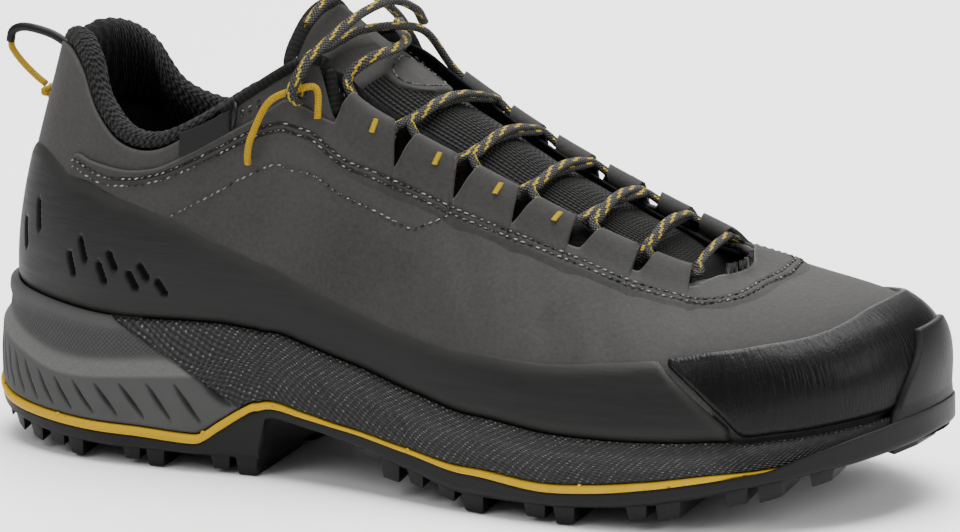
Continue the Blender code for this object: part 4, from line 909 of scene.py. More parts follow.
def lace_finish():
    """Woven lace: black with a painted grey sheen on the braid's ridges, and short yellow dashes that step
    across it.
    """
    made = Finish("lace", gloss=0.25)
    along, around = made.along()
    braid = (along * 5600).math("SINE") * (around * 50.3).math("SINE") * 0.5 + 0.5
    thread = made.noise(1900, 2)
    # Grey on the braid's ridges is a painted sheen; black between them.
    base = made.mix(braid.above(0.55, 0.6) * (0.25 + thread * 0.75), grey(4), colour(128, 128, 125))
    dash = None
    for track, phase in DASHES:
        near = 1 - ((around - track).math("ABSOLUTE") / 0.048).math("MINIMUM", 1)
        lit = near.above(0.3, 0.3) * (along / DASH_CYCLE + phase).math("FRACT").above(0.70, 0.06)
        dash = lit if dash is None else dash.math("MAXIMUM", lit)
    base = made.mix(dash, base, made.mix(thread, colour(240, 190, 6), colour(255, 226, 20)))
    made.set(Base_Color=base, Roughness=0.7 - dash * 0.15)
    made.bump((braid + dash * 0.4, 0.00050), (thread, 0.00014))
    return made


def yellow_cord_finish():
    """Thin braided cord."""
    made = Finish("yellow_cord")
    along, around = made.along()
    one = (along * 4200 + around * 37.7).math("SINE")
    two = (along * 4200 - around * 37.7).math("SINE")
    braid = one * two * 0.5 + 0.5
    base = made.mix(braid, colour(216, 156, 2), colour(255, 214, 14))
    made.set(Base_Color=base, Roughness=0.55 + braid * 0.1)
    made.bump((braid, 0.00022))
    return made


def plain_finish(slot, name, low, high, roughness, grain=900, depth=0.0001):
    """A small trim's finish: two close tones and a fine grain."""
    made = Finish(slot, name)
    cloud = made.noise(grain, 3)
    made.set(Base_Color=made.mix(cloud, colour(*low), colour(*high)), Roughness=roughness + cloud * 0.15)
    made.bump((cloud, depth))
    return made


def thread_finish():
    """Dark thread that catches the light here and there."""
    made = Finish("lace", "thread")
    lit = made.noise(640, 2)
    base = made.mix(lit.above(0.52, 0.14), grey(24), colour(200, 199, 194))
    made.set(Base_Color=base, Roughness=0.5 + lit * 0.2)
    made.bump((made.noise(2200, 2), 0.0001))
    return made


NUBUCK = nubuck_finish("nubuck", (81, 80, 78))
OVERLAY = nubuck_finish("nubuck_overlay", (76, 75, 73))
FILM = film_finish()
CAP = cap_finish()
RUBBER = rubber_finish()
ACCENT = accent_finish()
FOAM = foam_finish()
WRAP = wrap_finish()
KNIT = knit_finish("knit", "knit", 0.0021, 0.0026, (9, 9, 9), (66, 66, 65))
BINDING = knit_finish("knit", "binding", 0.0016, 0.0012, (12, 12, 12), (84, 84, 82))
LINING = knit_finish("sock_cloth", "lining", 0.0022, 0.0022, (8, 8, 8), (26, 26, 26), 0.00012)
WEBBING = webbing_finish()
LACE = lace_finish()
CORD = yellow_cord_finish()
THREAD = thread_finish()
YELLOW_THREAD = plain_finish("yellow_cord", "yellow_thread", (226, 176, 4), (255, 222, 20), 0.5)
SLEEVE = plain_finish("rubber", "sleeve", (10, 10, 10), (22, 22, 22), 0.45)
LABEL = plain_finish("webbing", "label", (26, 26, 26), (44, 44, 44), 0.6, 1600, 0.00016)


def deselect():
    if bpy.context.object and bpy.context.object.mode != "OBJECT":
        bpy.ops.object.mode_set(mode="OBJECT")
    bpy.ops.object.select_all(action="DESELECT")


def choose(piece):
    deselect()
    piece.select_set(True)
    bpy.context.view_layer.objects.active = piece


def in_edit_mode(piece, *steps):
    """Runs edit operators on the whole of a piece, one after another."""
    choose(piece)
    bpy.ops.object.mode_set(mode="EDIT")
    for step, settings in steps:
        bpy.ops.mesh.select_all(action="SELECT")
        if step == "fill_ends":
            bpy.ops.mesh.select_all(action="DESELECT")
            bpy.ops.mesh.select_mode(type="EDGE")
            bpy.ops.mesh.select_non_manifold()
            bpy.ops.mesh.fill_holes(sides=0)
        else:
            getattr(bpy.ops.mesh, step)(**settings)
    bpy.ops.object.mode_set(mode="OBJECT")


MERGE = ("remove_doubles", {"threshold": 0.000002})
OUTWARDS = ("normals_make_consistent", {"inside": False})


def sheet(name, columns, rows, place, size=(1.0, 1.0)):
    """A flat grid laid in its place, which takes the shares along and across."""
    deselect()
    bpy.ops.mesh.primitive_grid_add(x_subdivisions=columns, y_subdivisions=rows, size=1, calc_uvs=True)
    piece = bpy.context.object
    piece.name = piece.data.name = name
    mesh = piece.data
    flat = np.empty(len(mesh.vertices) * 3)
    mesh.vertices.foreach_get("co", flat)
    flat = flat.reshape(rows + 1, columns + 1, 3) + 0.5
    points = place(flat[:, :, 0], flat[:, :, 1])
    mesh.vertices.foreach_set("co", (points + SHIFT).ravel())
    uv = np.empty(len(mesh.loops) * 2)
    mesh.uv_layers.active.data.foreach_get("uv", uv)
    mesh.uv_layers.active.data.foreach_set("uv", (uv.reshape(-1, 2) * size).ravel())
    mesh.update()
    choose(piece)
    bpy.ops.object.shade_smooth()
    return piece


def mark(piece, marks):
    """Gives a piece's points the numbers that its finish reads."""
    for key, values in marks.items():
        layer = piece.data.attributes.new(key, "FLOAT", "POINT")
        layer.data.foreach_set("value", values.ravel().astype(np.float32))


def add_wall(piece, thickness, lining=False):
    """Gives an open sheet its thickness, inwards."""
    shell = piece.modifiers.new("Wall", "SOLIDIFY")
    shell.thickness = thickness
    shell.offset = -1
    shell.use_even_offset = False
    shell.use_quality_normals = False
    if lining:
        shell.material_offset = 1
    choose(piece)
    bpy.ops.object.modifier_apply(modifier="Wall")


def settle(piece, finish, *nodes, lining=None):
    """Gives a finished piece its material and ties it to the shoe."""
    piece.data.materials.append(finish.material)
    if lining:
        piece.data.materials.append(lining.material)
    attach(piece, "root")
    if nodes:
        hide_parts(*nodes)
    return piece


def joined(name, pieces):
    """One piece from several."""
    deselect()
    for piece in pieces:
        piece.select_set(True)
    bpy.context.view_layer.objects.active = pieces[0]
    bpy.ops.object.join()
    pieces[0].name = pieces[0].data.name = name
    return pieces[0]


def bead(segments=6, rings=4):
    """The points and faces of a small round bead, the start of a stitch or a speckle."""
    deselect()
    bpy.ops.mesh.primitive_uv_sphere_add(segments=segments, ring_count=rings, radius=1)
    made = bpy.context.object
    points = np.array([vertex.co for vertex in made.data.vertices])
    faces = [tuple(face.vertices) for face in made.data.polygons]
    bpy.data.objects.remove(made)
    return points, faces


def scatter(name, spots):
    """Many beads in one mesh. A spot is a centre and the bead's three half sizes as vectors."""
    base, shape = bead()
    points, faces = [], []
    for centre, *axes in spots:
        start = len(points) * len(base)
        points.append(np.array(centre) + SHIFT + base @ np.array(axes))
        faces += [tuple(start + k for k in face) for face in shape]
    mesh = bpy.data.meshes.new(name)
    mesh.from_pydata(np.concatenate(points).tolist(), [], faces)
    piece = bpy.data.objects.new(name, mesh)
    bpy.context.scene.collection.objects.link(piece)
    in_edit_mode(piece, OUTWARDS)
    bpy.ops.object.shade_smooth()
    return piece


def cord_mesh(name, route, diameter, flat=1.0, sides=12, step=0.0008):
    """A tube along a smooth route; a flat one lies on its broad side. Returns it and its path."""
    path = even_route(route, step)
    along = unit(np.gradient(path, axis=0))
    side = unit(np.cross(along[0], UP))
    sides_at = []
    for direction in along:
        level = np.cross(direction, UP)
        side = side - direction * side.dot(direction)
        side = unit(side + level * 0.06 * np.sign(side.dot(level) or 1))
        sides_at.append(side)
    broad = np.array(sides_at)
    high = np.cross(broad, along)

    def place(s, t):
        column = np.round(s * (len(path) - 1)).astype(int)
        turn = (2 * math.pi * t)[..., None]
        return path[column] + (broad[column] * np.cos(turn) - high[column] * np.sin(turn) * flat) * diameter / 2

    piece = sheet(name, len(path) - 1, sides, place, size=(route_length(path), 1.0))
    in_edit_mode(piece, MERGE, ("fill_ends", {}), OUTWARDS)
    return piece, [tuple(float(c) for c in point + SHIFT) for point in path]


def panel(name, places, low, high, lift, rows, edge, relief=None, marks=None, sunk=0.0005):
    """An overlay on the upper: its columns' places, and its lower and upper rows as functions of the place."""
    found = {}

    def place(s, t):
        u = np.interp(s, np.linspace(0, 1, len(places)), places)
        eased = t - 0.12 * np.sin(2 * math.pi * t)
        bottom, top = low(u), high(u)
        v = bottom + (top - bottom) * eased
        length = wall_length(u[0])[None, :]
        step = pitch(u[0])[None, :]
        ends = np.minimum(u - places[0], places[-1] - u) * step
        to_low, to_high = (v - bottom) * length, (top - v) * length
        away = np.minimum(np.minimum(to_high, ends), to_low)
        rounded = np.sqrt(1 - (1 - np.clip(away / edge, 0, 1)) ** 2)
        found["edge"] = 1 - ramp(away, edge * 0.4, edge * 1.1)
        rise = (lift + sunk) * rounded - sunk
        if relief:
            rise = rise + relief(u, v) * rounded
        for key, read in (marks or {}).items():
            found[key] = read(u, v)
        return skin(u, v, rise)

    size = (float((pitch(np.array(places)) * np.gradient(places)).sum()), 0.04)
    piece = sheet(name, len(places) - 1, rows, place, size=size)
    mark(piece, found)
    return piece


def stack(name, first, last, columns, rings, counts, softer=2, carve=None, size=(0.6, 0.05)):
    """A band round the sole through rings, each a function of the place, with some rows between neighbours."""

    def place(s, t):
        u = first + (last - first) * s[0]
        levels = [ring(u) for ring in rings]
        grid = []
        for k, count in enumerate(counts):
            for j in range(count):
                grid.append(levels[k] + (levels[k + 1] - levels[k]) * j / count)
        grid.append(levels[-1])
        grid = np.array(grid)
        for _ in range(softer):
            grid[1:-1] = 0.25 * grid[:-2] + 0.5 * grid[1:-1] + 0.25 * grid[2:]
        if carve:
            grid = carve(u, grid)
        return grid

    whole = abs(last - first) >= ROUND
    piece = sheet(name, columns, sum(counts), place, size=size)
    in_edit_mode(piece, MERGE, *([OUTWARDS] if whole else []))
    return piece


# The photograph's view: degrees round to the outer side, above the floor and rolled, then where the camera
# aims, how far away it stands and its lens
VIEW_ANGLES = (27, 13, -1.5)
VIEW_TARGET = (0.1538, 0, 0.05737)
VIEW_DISTANCE = 1.9
VIEW_LENS = 250.8


def make_camera():
    """The camera at the photograph's viewing angle."""
    turn, height, roll = [math.radians(angle) for angle in VIEW_ANGLES]
    target = Vector(VIEW_TARGET) + Vector(SHIFT)
    back = Vector((math.sin(turn) * math.cos(height), -math.cos(turn) * math.cos(height), math.sin(height)))
    right = Vector((math.cos(turn), math.sin(turn), 0))
    up = back.cross(right)
    across = right * math.cos(roll) + up * math.sin(roll)
    upright = up * math.cos(roll) - right * math.sin(roll)
    lens = bpy.data.cameras.new("camera")
    lens.lens = VIEW_LENS
    lens.sensor_width = 36
    lens.clip_end = 20
    camera = bpy.data.objects.new("camera", lens)
    bpy.context.scene.collection.objects.link(camera)
    turned = Matrix((across, upright, back)).transposed().to_4x4()
    camera.matrix_world = Matrix.Translation(target + back * VIEW_DISTANCE) @ turned
    bpy.context.scene.camera = camera


def on_instep(route):
    """A route in metres from shares of the shoe's main sizes."""
    return [np.array(point) * (LENGTH, HALF_WIDTH, INSTEP_HEIGHT) for point in route]


def from_heel(route):
    """A route in metres from shares of the pull loop's reach behind the top of the heel."""
    return [skin(0, 1) + np.array(point) * PULL_REACH for point in route]


def over_tab(tabs, number, inner, towards_ankle):
    """Where the lace comes out of a tab's fold and over the wall's top edge, from the fold outwards."""
    first, last, _ = tabs[number]
    place = first if towards_ankle else last
    step = -0.01 if towards_ankle else 0.01
    start = end = skin(on_side(place, inner), 1.0)
    while np.linalg.norm(end - start) < LACE_DIAMETER / 2 + TAB_SIDE + CLEARANCE * 2:
        place += step
        end = skin(on_side(place, inner), 1.0)
    outward = unit((skin(on_side(place, inner), 1.0, 1.0) - end) * (1, 1, 0))
    over = end - outward * WALL * 0.5 + UP * (LACE_DIAMETER / 2 + CLEARANCE * 1.7)
    middle = (first + last) / 2
    inside = [skin(on_side(p, inner), TUNNEL_ROW, TUNNEL_LIFT) for p in (middle, place - step * 12)]
    return [*inside, over]


def declare(piece, path, finish, diameter, nodes, stiffness, **more):
    """Gives a cord its finish and ties it to the shoe; the length of its path and where it leaves the shoe are
    worked out but not kept.
    """
    settle(piece, finish, *nodes)
    measures = {"exit": path[0], "length": route_length(np.array(path)), "diameter": diameter, "path": path}


def make_top_laces():
    """Both ends of the lace: over the tongue, through the yellow loops and in over the top."""
    for key, tabs, inner, route in (("a", TABS_INNER, True, TOP_LACE_A), ("b", TABS_OUTER, False, TOP_LACE_B)):
        fold = over_tab(tabs, 0, inner, True)
        points = [fold[1], fold[2], *on_instep(route)]
        lace, path = cord_mesh(f"top_lace_{key}", points, LACE_DIAMETER, flat=0.72, sides=16)
        declare(lace, path, LACE, LACE_DIAMETER, [f"lace_top_{key}"], "limp")


def make_top_loops():
    """The yellow cord loops that hold the lace at the ankle."""
    for key, top, inner in (("outer", LOOP_TOPS[0], False), ("inner", LOOP_TOPS[1], True)):
        feet = [skin(on_side(place, inner), row, lift) for place, row, lift in (*LOOP_FEET, *LOOP_RETURN)]
        points = [*feet[: len(LOOP_FEET)], *on_instep([top]), *feet[len(LOOP_FEET) :]]
        loop, path = cord_mesh(f"ankle_loop_{key}", points, LOOP_CORD_DIAMETER)
        declare(loop, path, CORD, LOOP_CORD_DIAMETER, [f"top_loop_{key}"], "medium")


def make_pull_loop():
    """The heel's pull loop: a yellow cord in a black sleeve, tied in a knot under the heel's edge."""
    sleeve_route = from_heel(PULL_SLEEVE)
    cord_route = from_heel(PULL_CORD)
    cord, path = cord_mesh("heel_pull", [*sleeve_route[:-1], *cord_route], LOOP_CORD_DIAMETER)
    sleeve, _ = cord_mesh("heel_pull_sleeve", sleeve_route, SLEEVE_DIAMETER)
    settle(sleeve, SLEEVE)
    knot = make_knot("heel_pull_knot", cord_route[-1] + np.array([0.0004, 0, -0.0022]))
    settle(knot, CORD)
    nodes = ["pull_cord", "pull_sleeve"]
    declare(cord, path, CORD, LOOP_CORD_DIAMETER, nodes, "medium", with_pieces=[sleeve, knot])


def make_knot(name, centre):
    """An overhand knot's turns: a cord wound twice round a short core."""
    share = np.linspace(0, 1, 22)
    turn = share * 2 * math.pi * 2.1
    height = (share - 0.5) * 0.0032 + np.sin(turn * 0.5) * 0.0004
    route = centre + np.stack([np.cos(turn) * 0.0011, np.sin(turn) * 0.0011, height], -1)
    return cord_mesh(name, route, LOOP_CORD_DIAMETER * 0.95, sides=8, step=0.0004)[0]


# Top edge of the upper's wall on either side: place and row. It dips in the throat, where the tabs stand up
WALL_EDGE = [
    (0.0, 1.0),
    (5.50, 1.0),
    (5.72, 0.86),
    (5.95, 0.80),
    (7.00, 0.81),
    (8.20, 0.84),
    (8.90, 0.87),
    (9.30, 0.93),
    (9.90, 0.955),
    (13.0, 0.955),
]

# Stitch lines on either side: place on the outline, row up the wall
UPPER_SEAM = [
    (2.70, 0.668),
    (2.76, 0.695),
    (3.22, 0.750),
    (3.68, 0.822),
    (4.08, 0.855),
    (4.55, 0.850),
    (5.00, 0.838),
    (5.25, 0.812),
    (5.42, 0.768),
    (5.73, 0.736),
    (6.13, 0.771),
    (6.50, 0.781),
    (7.24, 0.792),
    (7.92, 0.803),
    (8.48, 0.792),
    (9.13, 0.799),
    (9.66, 0.780),
    (10.0, 0.790),
    (10.41, 0.815),
    (11.17, 0.873),
    (12.0, 0.900),
    (13.0, 0.910),
]
SIDE_SEAM = [
    (4.18, 0.607),
    (4.60, 0.645),
    (4.99, 0.673),
    (5.18, 0.675),
    (5.38, 0.630),
    (5.74, 0.609),
    (6.14, 0.630),
    (6.50, 0.624),
    (6.67, 0.677),
    (6.85, 0.753),
]


def seam_row(rows, place, below=0.0):
    return smooth(rows, 1, side_place(place)) - below / wall_length(place)


def seam_marks(u, v):
    """How near a point of the upper is to a stitch line, from 0 to 1."""
    length = wall_length(u[0])[None, :]
    side = side_place(u)
    found = np.zeros_like(u)
    for below in (0.0, SEAM_GAP):
        off = np.abs((smooth(UPPER_SEAM, 1, side) - v) * length - below)
        found = np.maximum(found, np.where(side > UPPER_SEAM[0][0], 1 - ramp(off, 0.0002, 0.0006), 0))
    return found


# Soft dents and swells near the ankle: place and width along the outline, row and height, and rise
ANKLE_DENTS = [
    (5.25, 0.22, 0.58, 0.12, -0.0009),
    (4.10, 0.50, 0.72, 0.09, 0.0005),
    (3.30, 0.35, 0.62, 0.10, -0.0006),
]


def creases(u, v):
    """Soft folds of the worn-in leather: under the tabs, at the flex of the toes and at the ankle."""
    side = side_place(u)
    lift = np.zeros_like(u)
    for _, last, _ in TABS_OUTER:
        lift -= 0.00055 * bell(side, last + 0.08, 0.10) * ramp(v, 0.52, 0.74)
    flex = ramp(v, 0.30, 0.45) * ramp(-v, -0.78, -0.62)
    for at, lean, depth in ((7.05, 0.5, 0.0005), (7.75, 0.4, 0.0007), (8.35, 0.25, 0.0006), (8.9, 0.1, 0.0004)):
        lift -= depth * bell(side - at, lean * (0.6 - v), 0.13) * flex
    for place, width, row, tall, rise in ANKLE_DENTS:
        lift += rise * bell(side, place, width) * bell(v, row, tall)
    return lift


def film_row(u):
    return smooth(FILM_EDGE, 1, side_place(u))


def cap_low(u):
    return smooth(CAP_EDGES, 1, side_place(u))


def cap_high(u):
    return smooth(CAP_EDGES, 2, side_place(u))


def make_upper():
    """The nubuck wall with its lining, sunk a little where the film and the toe cap lie over it."""

    def place(s, t):
        u = ROUND * s
        top = smooth(WALL_EDGE, 1, side_place(u))
        v = -0.7 + (top + 0.7) * t
        length = wall_length(u[0])[None, :]
        cover = np.where(side_place(u) < 9.6, film_row(u), cap_high(u) - 0.02)
        under = ramp((cover - v) * length, 0.0015, 0.0040)
        return skin(u, v, creases(u, v) * (1 - under) - under * 0.0011)

    upper = sheet("nubuck_wall", 760, 56, place, size=(0.72, 0.10))
    in_edit_mode(upper, MERGE)
    mark(upper, dict.fromkeys(("edge", "seam"), np.zeros(len(upper.data.vertices))))
    add_wall(upper, WALL, lining=True)
    settle(upper, NUBUCK, "upper", lining=LINING)


def slot_pits(u, v):
    """How deep a point of the film lies in a vent slot, from 0 to 1."""
    outer = np.mod(u, ROUND) < ROUND / 2
    side = side_place(u)
    found = np.zeros_like(u)
    for k, (place, high, low) in enumerate(SLOTS):
        step = float(pitch(np.array(place)))
        length = float(wall_length(np.array(place)))
        x, y = (side - place) * step, (v - (high + low) / 2) * length
        half = (high - low) * length / 2 - SLOT_WIDTH * 0.35
        share = np.clip(y / half, -1, 1)
        away = np.hypot(x + SLOT_LEAN * share, y - share * half)
        pit = 1 - ramp(away, SLOT_WIDTH * 0.44, SLOT_WIDTH * 0.70)
        found = np.maximum(found, np.where(outer | (k < 5), pit, 0))
    return found


def fine_places(first, last, step, dense=()):
    """Places for the columns of a panel, with closer ones in some stretches."""
    places = [first]
    while places[-1] < last:
        near = [fine for low, high, fine in dense if low <= places[-1] < high]
        places.append(min(last, places[-1] + (near[0] if near else step)))
    return np.array(places)


def make_film():
    """The matt film round the heel and along both sides, with its vent slots as pits."""
    reach = FILM_EDGE[-1][0] - 0.01
    places = fine_places(-reach, reach, 0.06, dense=[(-4.2, -0.75, 0.02), (0.75, 4.2, 0.016)])
    lift = FILM_THICKNESS + OVERLAY_LIFT * 0.4

    def low(u):
        return np.full_like(u, -0.01)

    def pits(u, v):
        return -PIT_DEPTH * slot_pits(u, v)

    film = panel("matt_rand", places, low, film_row, lift, 78, 0.0045, relief=pits, marks={"pit": slot_pits})
    settle(film, FILM, "rand_film")


def make_cap():
    """The glossy toe cap with fine ribs across it."""
    first = CAP_EDGES[0][0] + 0.02
    places = fine_places(first, ROUND - first, 0.022)

    def dents(u, v):
        return 0.00022 * np.sin(u * 2.3 + v * 9) * ramp(v, 0.05, 0.25)

    cap = panel("gloss_toe_cap", places, cap_low, cap_high, CAP_LIFT + CAP_THICKNESS, 90, 0.0026, relief=dents)
    settle(cap, CAP, "toe_cap")


UNDER_TABS = 0.700
FACING_LOW = [(p, low) for p, low, _ in FACING_BACK]
FACING_LOW += [(6.5, UNDER_TABS), (8.5, UNDER_TABS), *[(p, low) for p, low, _ in FACING_FRONT]]
FACING_HIGH = [(p, high) for p, _, high in FACING_BACK + FACING_FRONT]


def facing_reach(side, tabs):
    """Where the facing ends above: its row between the tabs, and how much of the fold is there, from 0 to 1."""
    row = smooth(FACING_HIGH, 1, side)
    between = [((last + after[0]) / 2, notch) for (_, last, notch), after in zip(tabs, tabs[1:])]
    notches = [(5.83, 0.850), *between, (9.42, 0.885)]
    inside = (side > 5.80) & (side < 9.62)
    row = np.where(inside, smooth(notches, 1, side), row)
    fold = np.zeros_like(side)
    for first, last, _ in tabs:
        rise = np.clip((side - first + 0.165) / 0.27, 0, 1)
        rise = rise * (1 - ramp(side, last + 0.005, last + 0.04))
        fold = np.maximum(fold, rise)
    return row, fold


def make_facing():
    """The facing: from the heel along the throat and round its front, six folded tabs on each side."""
    tab_edges = []
    for tabs, inner in ((TABS_OUTER, False), (TABS_INNER, True)):
        for first, last, _ in tabs:
            spans = [(first - 0.18, first + 0.12, 0.011), (last - 0.01, last + 0.05, 0.004)]
            tab_edges += [(*sorted((on_side(a, inner), on_side(b, inner))), fine) for a, b, fine in spans]
    start = FACING_BACK[0][0]
    places = fine_places(start, ROUND - start, 0.032, dense=tab_edges)
    found = {}

    def place(s, t):
        u = np.interp(s, np.linspace(0, 1, len(places)), places)
        outer = u < ROUND / 2
        side = side_place(u)
        low = smooth(FACING_LOW, 1, side)
        row, fold = facing_reach(side, TABS_OUTER)
        inner_row, inner_fold = facing_reach(side, TABS_INNER)
        row, fold = np.where(outer, row, inner_row), np.where(outer, fold, inner_fold)
        length = wall_length(u[0])[None, :]
        straight = (TUNNEL_ROW - low) * length
        full = straight + math.pi * FOLD_RADIUS + 0.0030
        end = (row - low) * length * (1 - fold) + full * fold
        eased = t - 0.08 * np.sin(2 * math.pi * t)
        run = end * eased
        flat_lift = 0.0011 * ramp(run, 0.0, 0.0045) - 0.0003
        swell = ramp(run, (row - low) * length - 0.004, straight) * ramp(fold, 0.0, 0.35)
        lift = flat_lift + (TUNNEL_LIFT + FOLD_RADIUS - flat_lift) * swell
        turn = np.clip((run - straight) / FOLD_RADIUS, 0, math.pi)
        after = np.maximum(run - straight - math.pi * FOLD_RADIUS, 0)
        bent = run > straight
        lift = np.where(bent, TUNNEL_LIFT + FOLD_RADIUS * np.cos(turn), lift)
        v = np.where(bent, TUNNEL_ROW + (FOLD_RADIUS * np.sin(turn) - after) / length, low + run / length)
        found["edge"] = 1 - ramp(end - run, 0.0004, 0.0009)
        found["seam"] = seam_marks(u, v) * np.where(bent, 0, 1)
        lift = lift - found["seam"] * 0.00028 + creases(u, v) * np.where(bent, 0, 1) * 0.6
        return skin(u, v, lift)

    facing = sheet("tab_facing", len(places) - 1, 44, place)
    mark(facing, found)
    add_wall(facing, FACING_THICKNESS)
    settle(facing, OVERLAY, "eyestay")


def seam_stitches(rows, first, last, below, lift):
    """Stitches along a line of the upper, as spots for the scatter."""
    places = np.arange(first, last, 0.01)
    points = skin(places, seam_row(rows, places, below), lift)
    at = np.arange(STITCH_PITCH / 2, run(points)[-1], STITCH_PITCH)
    centres = along_route(points, at)
    ahead = unit(along_route(points, at + 0.0005) - centres)
    spots = np.interp(at, run(points), places)
    spot_rows = seam_row(rows, spots, below)
    normal = unit(skin(spots, spot_rows, 1.0) - skin(spots, spot_rows, 0.0))
    across = np.cross(normal, ahead)
    lean = unit(ahead + across * 0.16)
    return list(zip(centres, lean * 0.00082, across * 0.00026, normal * 0.00028))


def stitch(at, ahead, normal, long, wide, high):
    """One stitch for the scatter, from its half sizes."""
    return at, ahead * long, np.cross(normal, ahead) * wide, normal * high


def make_gusset():
    """The dark cloth behind the notches, from the tongue's edges to the wall."""
    for key, low, high in (("outer", 5.62, 9.75), ("inner", ROUND - 9.75, ROUND - 5.62)):

        def place(s, t, low=low, high=high):
            u = low + (high - low) * s
            top = smooth([(5.6, 0.99), (5.9, 1.045), (9.1, 1.04), (9.7, 0.94)], 1, side_place(u))
            return skin(u, 0.70 + (top - 0.70) * t, -0.0024)

        cloth = sheet(f"gusset_{key}", 150, 10, place, size=(0.10, 0.025))
        add_wall(cloth, GUSSET_THICKNESS)
        settle(cloth, LINING)


def make_stitches():
    """The double row round the facing and the single rows on the sides."""
    spots = []
    for below in (0.0, SEAM_GAP):
        spots += seam_stitches(UPPER_SEAM, UPPER_SEAM[0][0], ROUND - UPPER_SEAM[0][0], below, 0.00078)
    settle(scatter("facing_stitches", spots), THREAD)
    first, last = SIDE_SEAM[0][0], SIDE_SEAM[-1][0]
    spots = seam_stitches(SIDE_SEAM, first, last, 0.0, 0.0002)
    spots += seam_stitches(SIDE_SEAM, ROUND - last, ROUND - first, 0.0, 0.0002)
    settle(scatter("side_stitches", spots), THREAD)


def make_bartacks():
    """The yellow bar of thread on each of the four upper tabs."""
    spots = []
    for tabs, inner in ((TABS_OUTER, False), (TABS_INNER, True)):
        for first, last, _ in tabs[:4]:
            count = np.arange(11) - 5
            rows = TUNNEL_ROW - 0.0030 / 0.085 + count * 0.00047 / 0.085
            places = on_side(first * 0.42 + last * 0.58 + count * 0.002, inner)
            here = skin(places, rows, TUNNEL_LIFT + FOLD_RADIUS - 0.0001)
            normal = unit(skin(places, rows, 1.0) - skin(places, rows, 0.0))
            ahead = unit(skin(places + 0.02, rows, 0.0) - skin(places - 0.02, rows, 0.0))
            across = np.cross(normal, ahead)
            lean = unit(ahead + across * 0.25)
            spots += list(zip(here, lean * 0.00095, across * 0.00028, normal * 0.00036))
    settle(scatter("tab_bartacks", spots), YELLOW_THREAD)


def make_collar():
    """The padded knit roll at the top edge, from one flap round the heel to the other."""
    reach = 5.03
    fullness = [(0, 1.0), (4.0, 1.0), (4.6, 0.75), (reach, 0.42)]
    gap = WALL + CLEARANCE * 2.5

    def place(s, t):
        u = -reach + 2 * reach * s[0]
        scale = smooth(fullness, 1, np.abs(u))
        thick = PAD_THICKNESS * scale
        top = skin(u, 1.0)
        inward = skin(u, 1.0, -1.0) - top
        up = unit(top - skin(u, 0.9))
        low_row = 0.80 + 0.06 * (1 - scale)

        def at(inwards, rise):
            across, over = [np.broadcast_to(amount, u.shape)[:, None] for amount in (inwards, rise)]
            return top + inward * across + up * over

        rings = np.array(
            [
                skin(u, low_row, -gap),
                skin(u, 1.0, -gap),
                at(WALL * 0.2, 0.0012),
                at(WALL * 0.4 + thick * 0.15, 0.0012 + 0.0036 * scale),
                at(WALL + thick * 0.6, 0.0012 + 0.0040 * scale),
                at(WALL + thick * 1.02, 0.0008),
                skin(u, 0.9, -WALL - thick * 0.97),
                skin(u, low_row - 0.05, -gap - thick * 0.35),
            ]
        )
        rings = np.concatenate([rings, rings[:1]])
        grid = through(rings, t[:, 0] * (len(rings) - 1))
        away = unit(np.cross(np.gradient(grid, axis=1), np.gradient(grid, axis=0)))
        along = run(grid[len(grid) // 2])[None, :]
        around = t * 0.034
        loops = np.sin(2 * math.pi * along / 0.0029 + 1.2 * np.sin(2 * math.pi * around / 0.0034))
        loops = loops * np.sin(2 * math.pi * around / 0.0034)
        return grid + away * (0.00024 * loops)[..., None]

    roll = sheet("collar_roll", 420, 56, place, size=(0.26, 0.034))
    in_edit_mode(roll, MERGE, ("fill_ends", {}), OUTWARDS)
    settle(roll, KNIT, "collar_pad")


def make_flap_binding():
    """The knit binding along the front of the collar's flaps, down to the first tab."""
    for key, inner in (("outer", False), ("inner", True)):
        places = [4.75, 4.9, 5.05, 5.2, 5.35, 5.5, 5.62]
        points = [skin(on_side(p, inner), 1.0, -0.0008) + UP * 0.0004 for p in places]
        edge = [(5.68, 0.955), (5.72, 0.915), (5.76, 0.875)]
        points += [skin(on_side(p, inner), row, -0.0010) for p, row in edge]
        binding, _ = cord_mesh(f"flap_binding_{key}", points, 0.0034, sides=14)
        settle(binding, BINDING)


def make_label():
    """The small woven label at the ankle, left plain, with its black thread loop."""
    places = np.linspace(4.33, 4.84, 40)

    def low(u):
        return 0.893 - (u - 4.33) * 0.022

    def high(u):
        return 1.035 - (u - 4.33) * 0.10

    settle(panel("side_label", places, low, high, 0.0012, 24, 0.0005, sunk=0.0002), LABEL)
    loop = [(4.86, 0.90, 0.0006), (4.90, 0.93, 0.0022), (4.90, 0.97, 0.0022), (4.87, 1.0, 0.0008)]
    cord, _ = cord_mesh("label_loop", [skin(*turn) for turn in loop], 0.0012, sides=8)
    settle(cord, SLEEVE)
    spots = []
    for place in (4.93, 5.0, 5.07):
        for row in (0.925, 0.945):
            ahead = unit(skin(place + 0.02, row) - skin(place - 0.02, row))
            normal = unit(skin(place, row, 1.0) - skin(place, row))
            spots.append(stitch(skin(place, row, 0.0002), ahead, normal, 0.0007, 0.00026, 0.0003))
    settle(scatter("label_stitches", spots), THREAD)


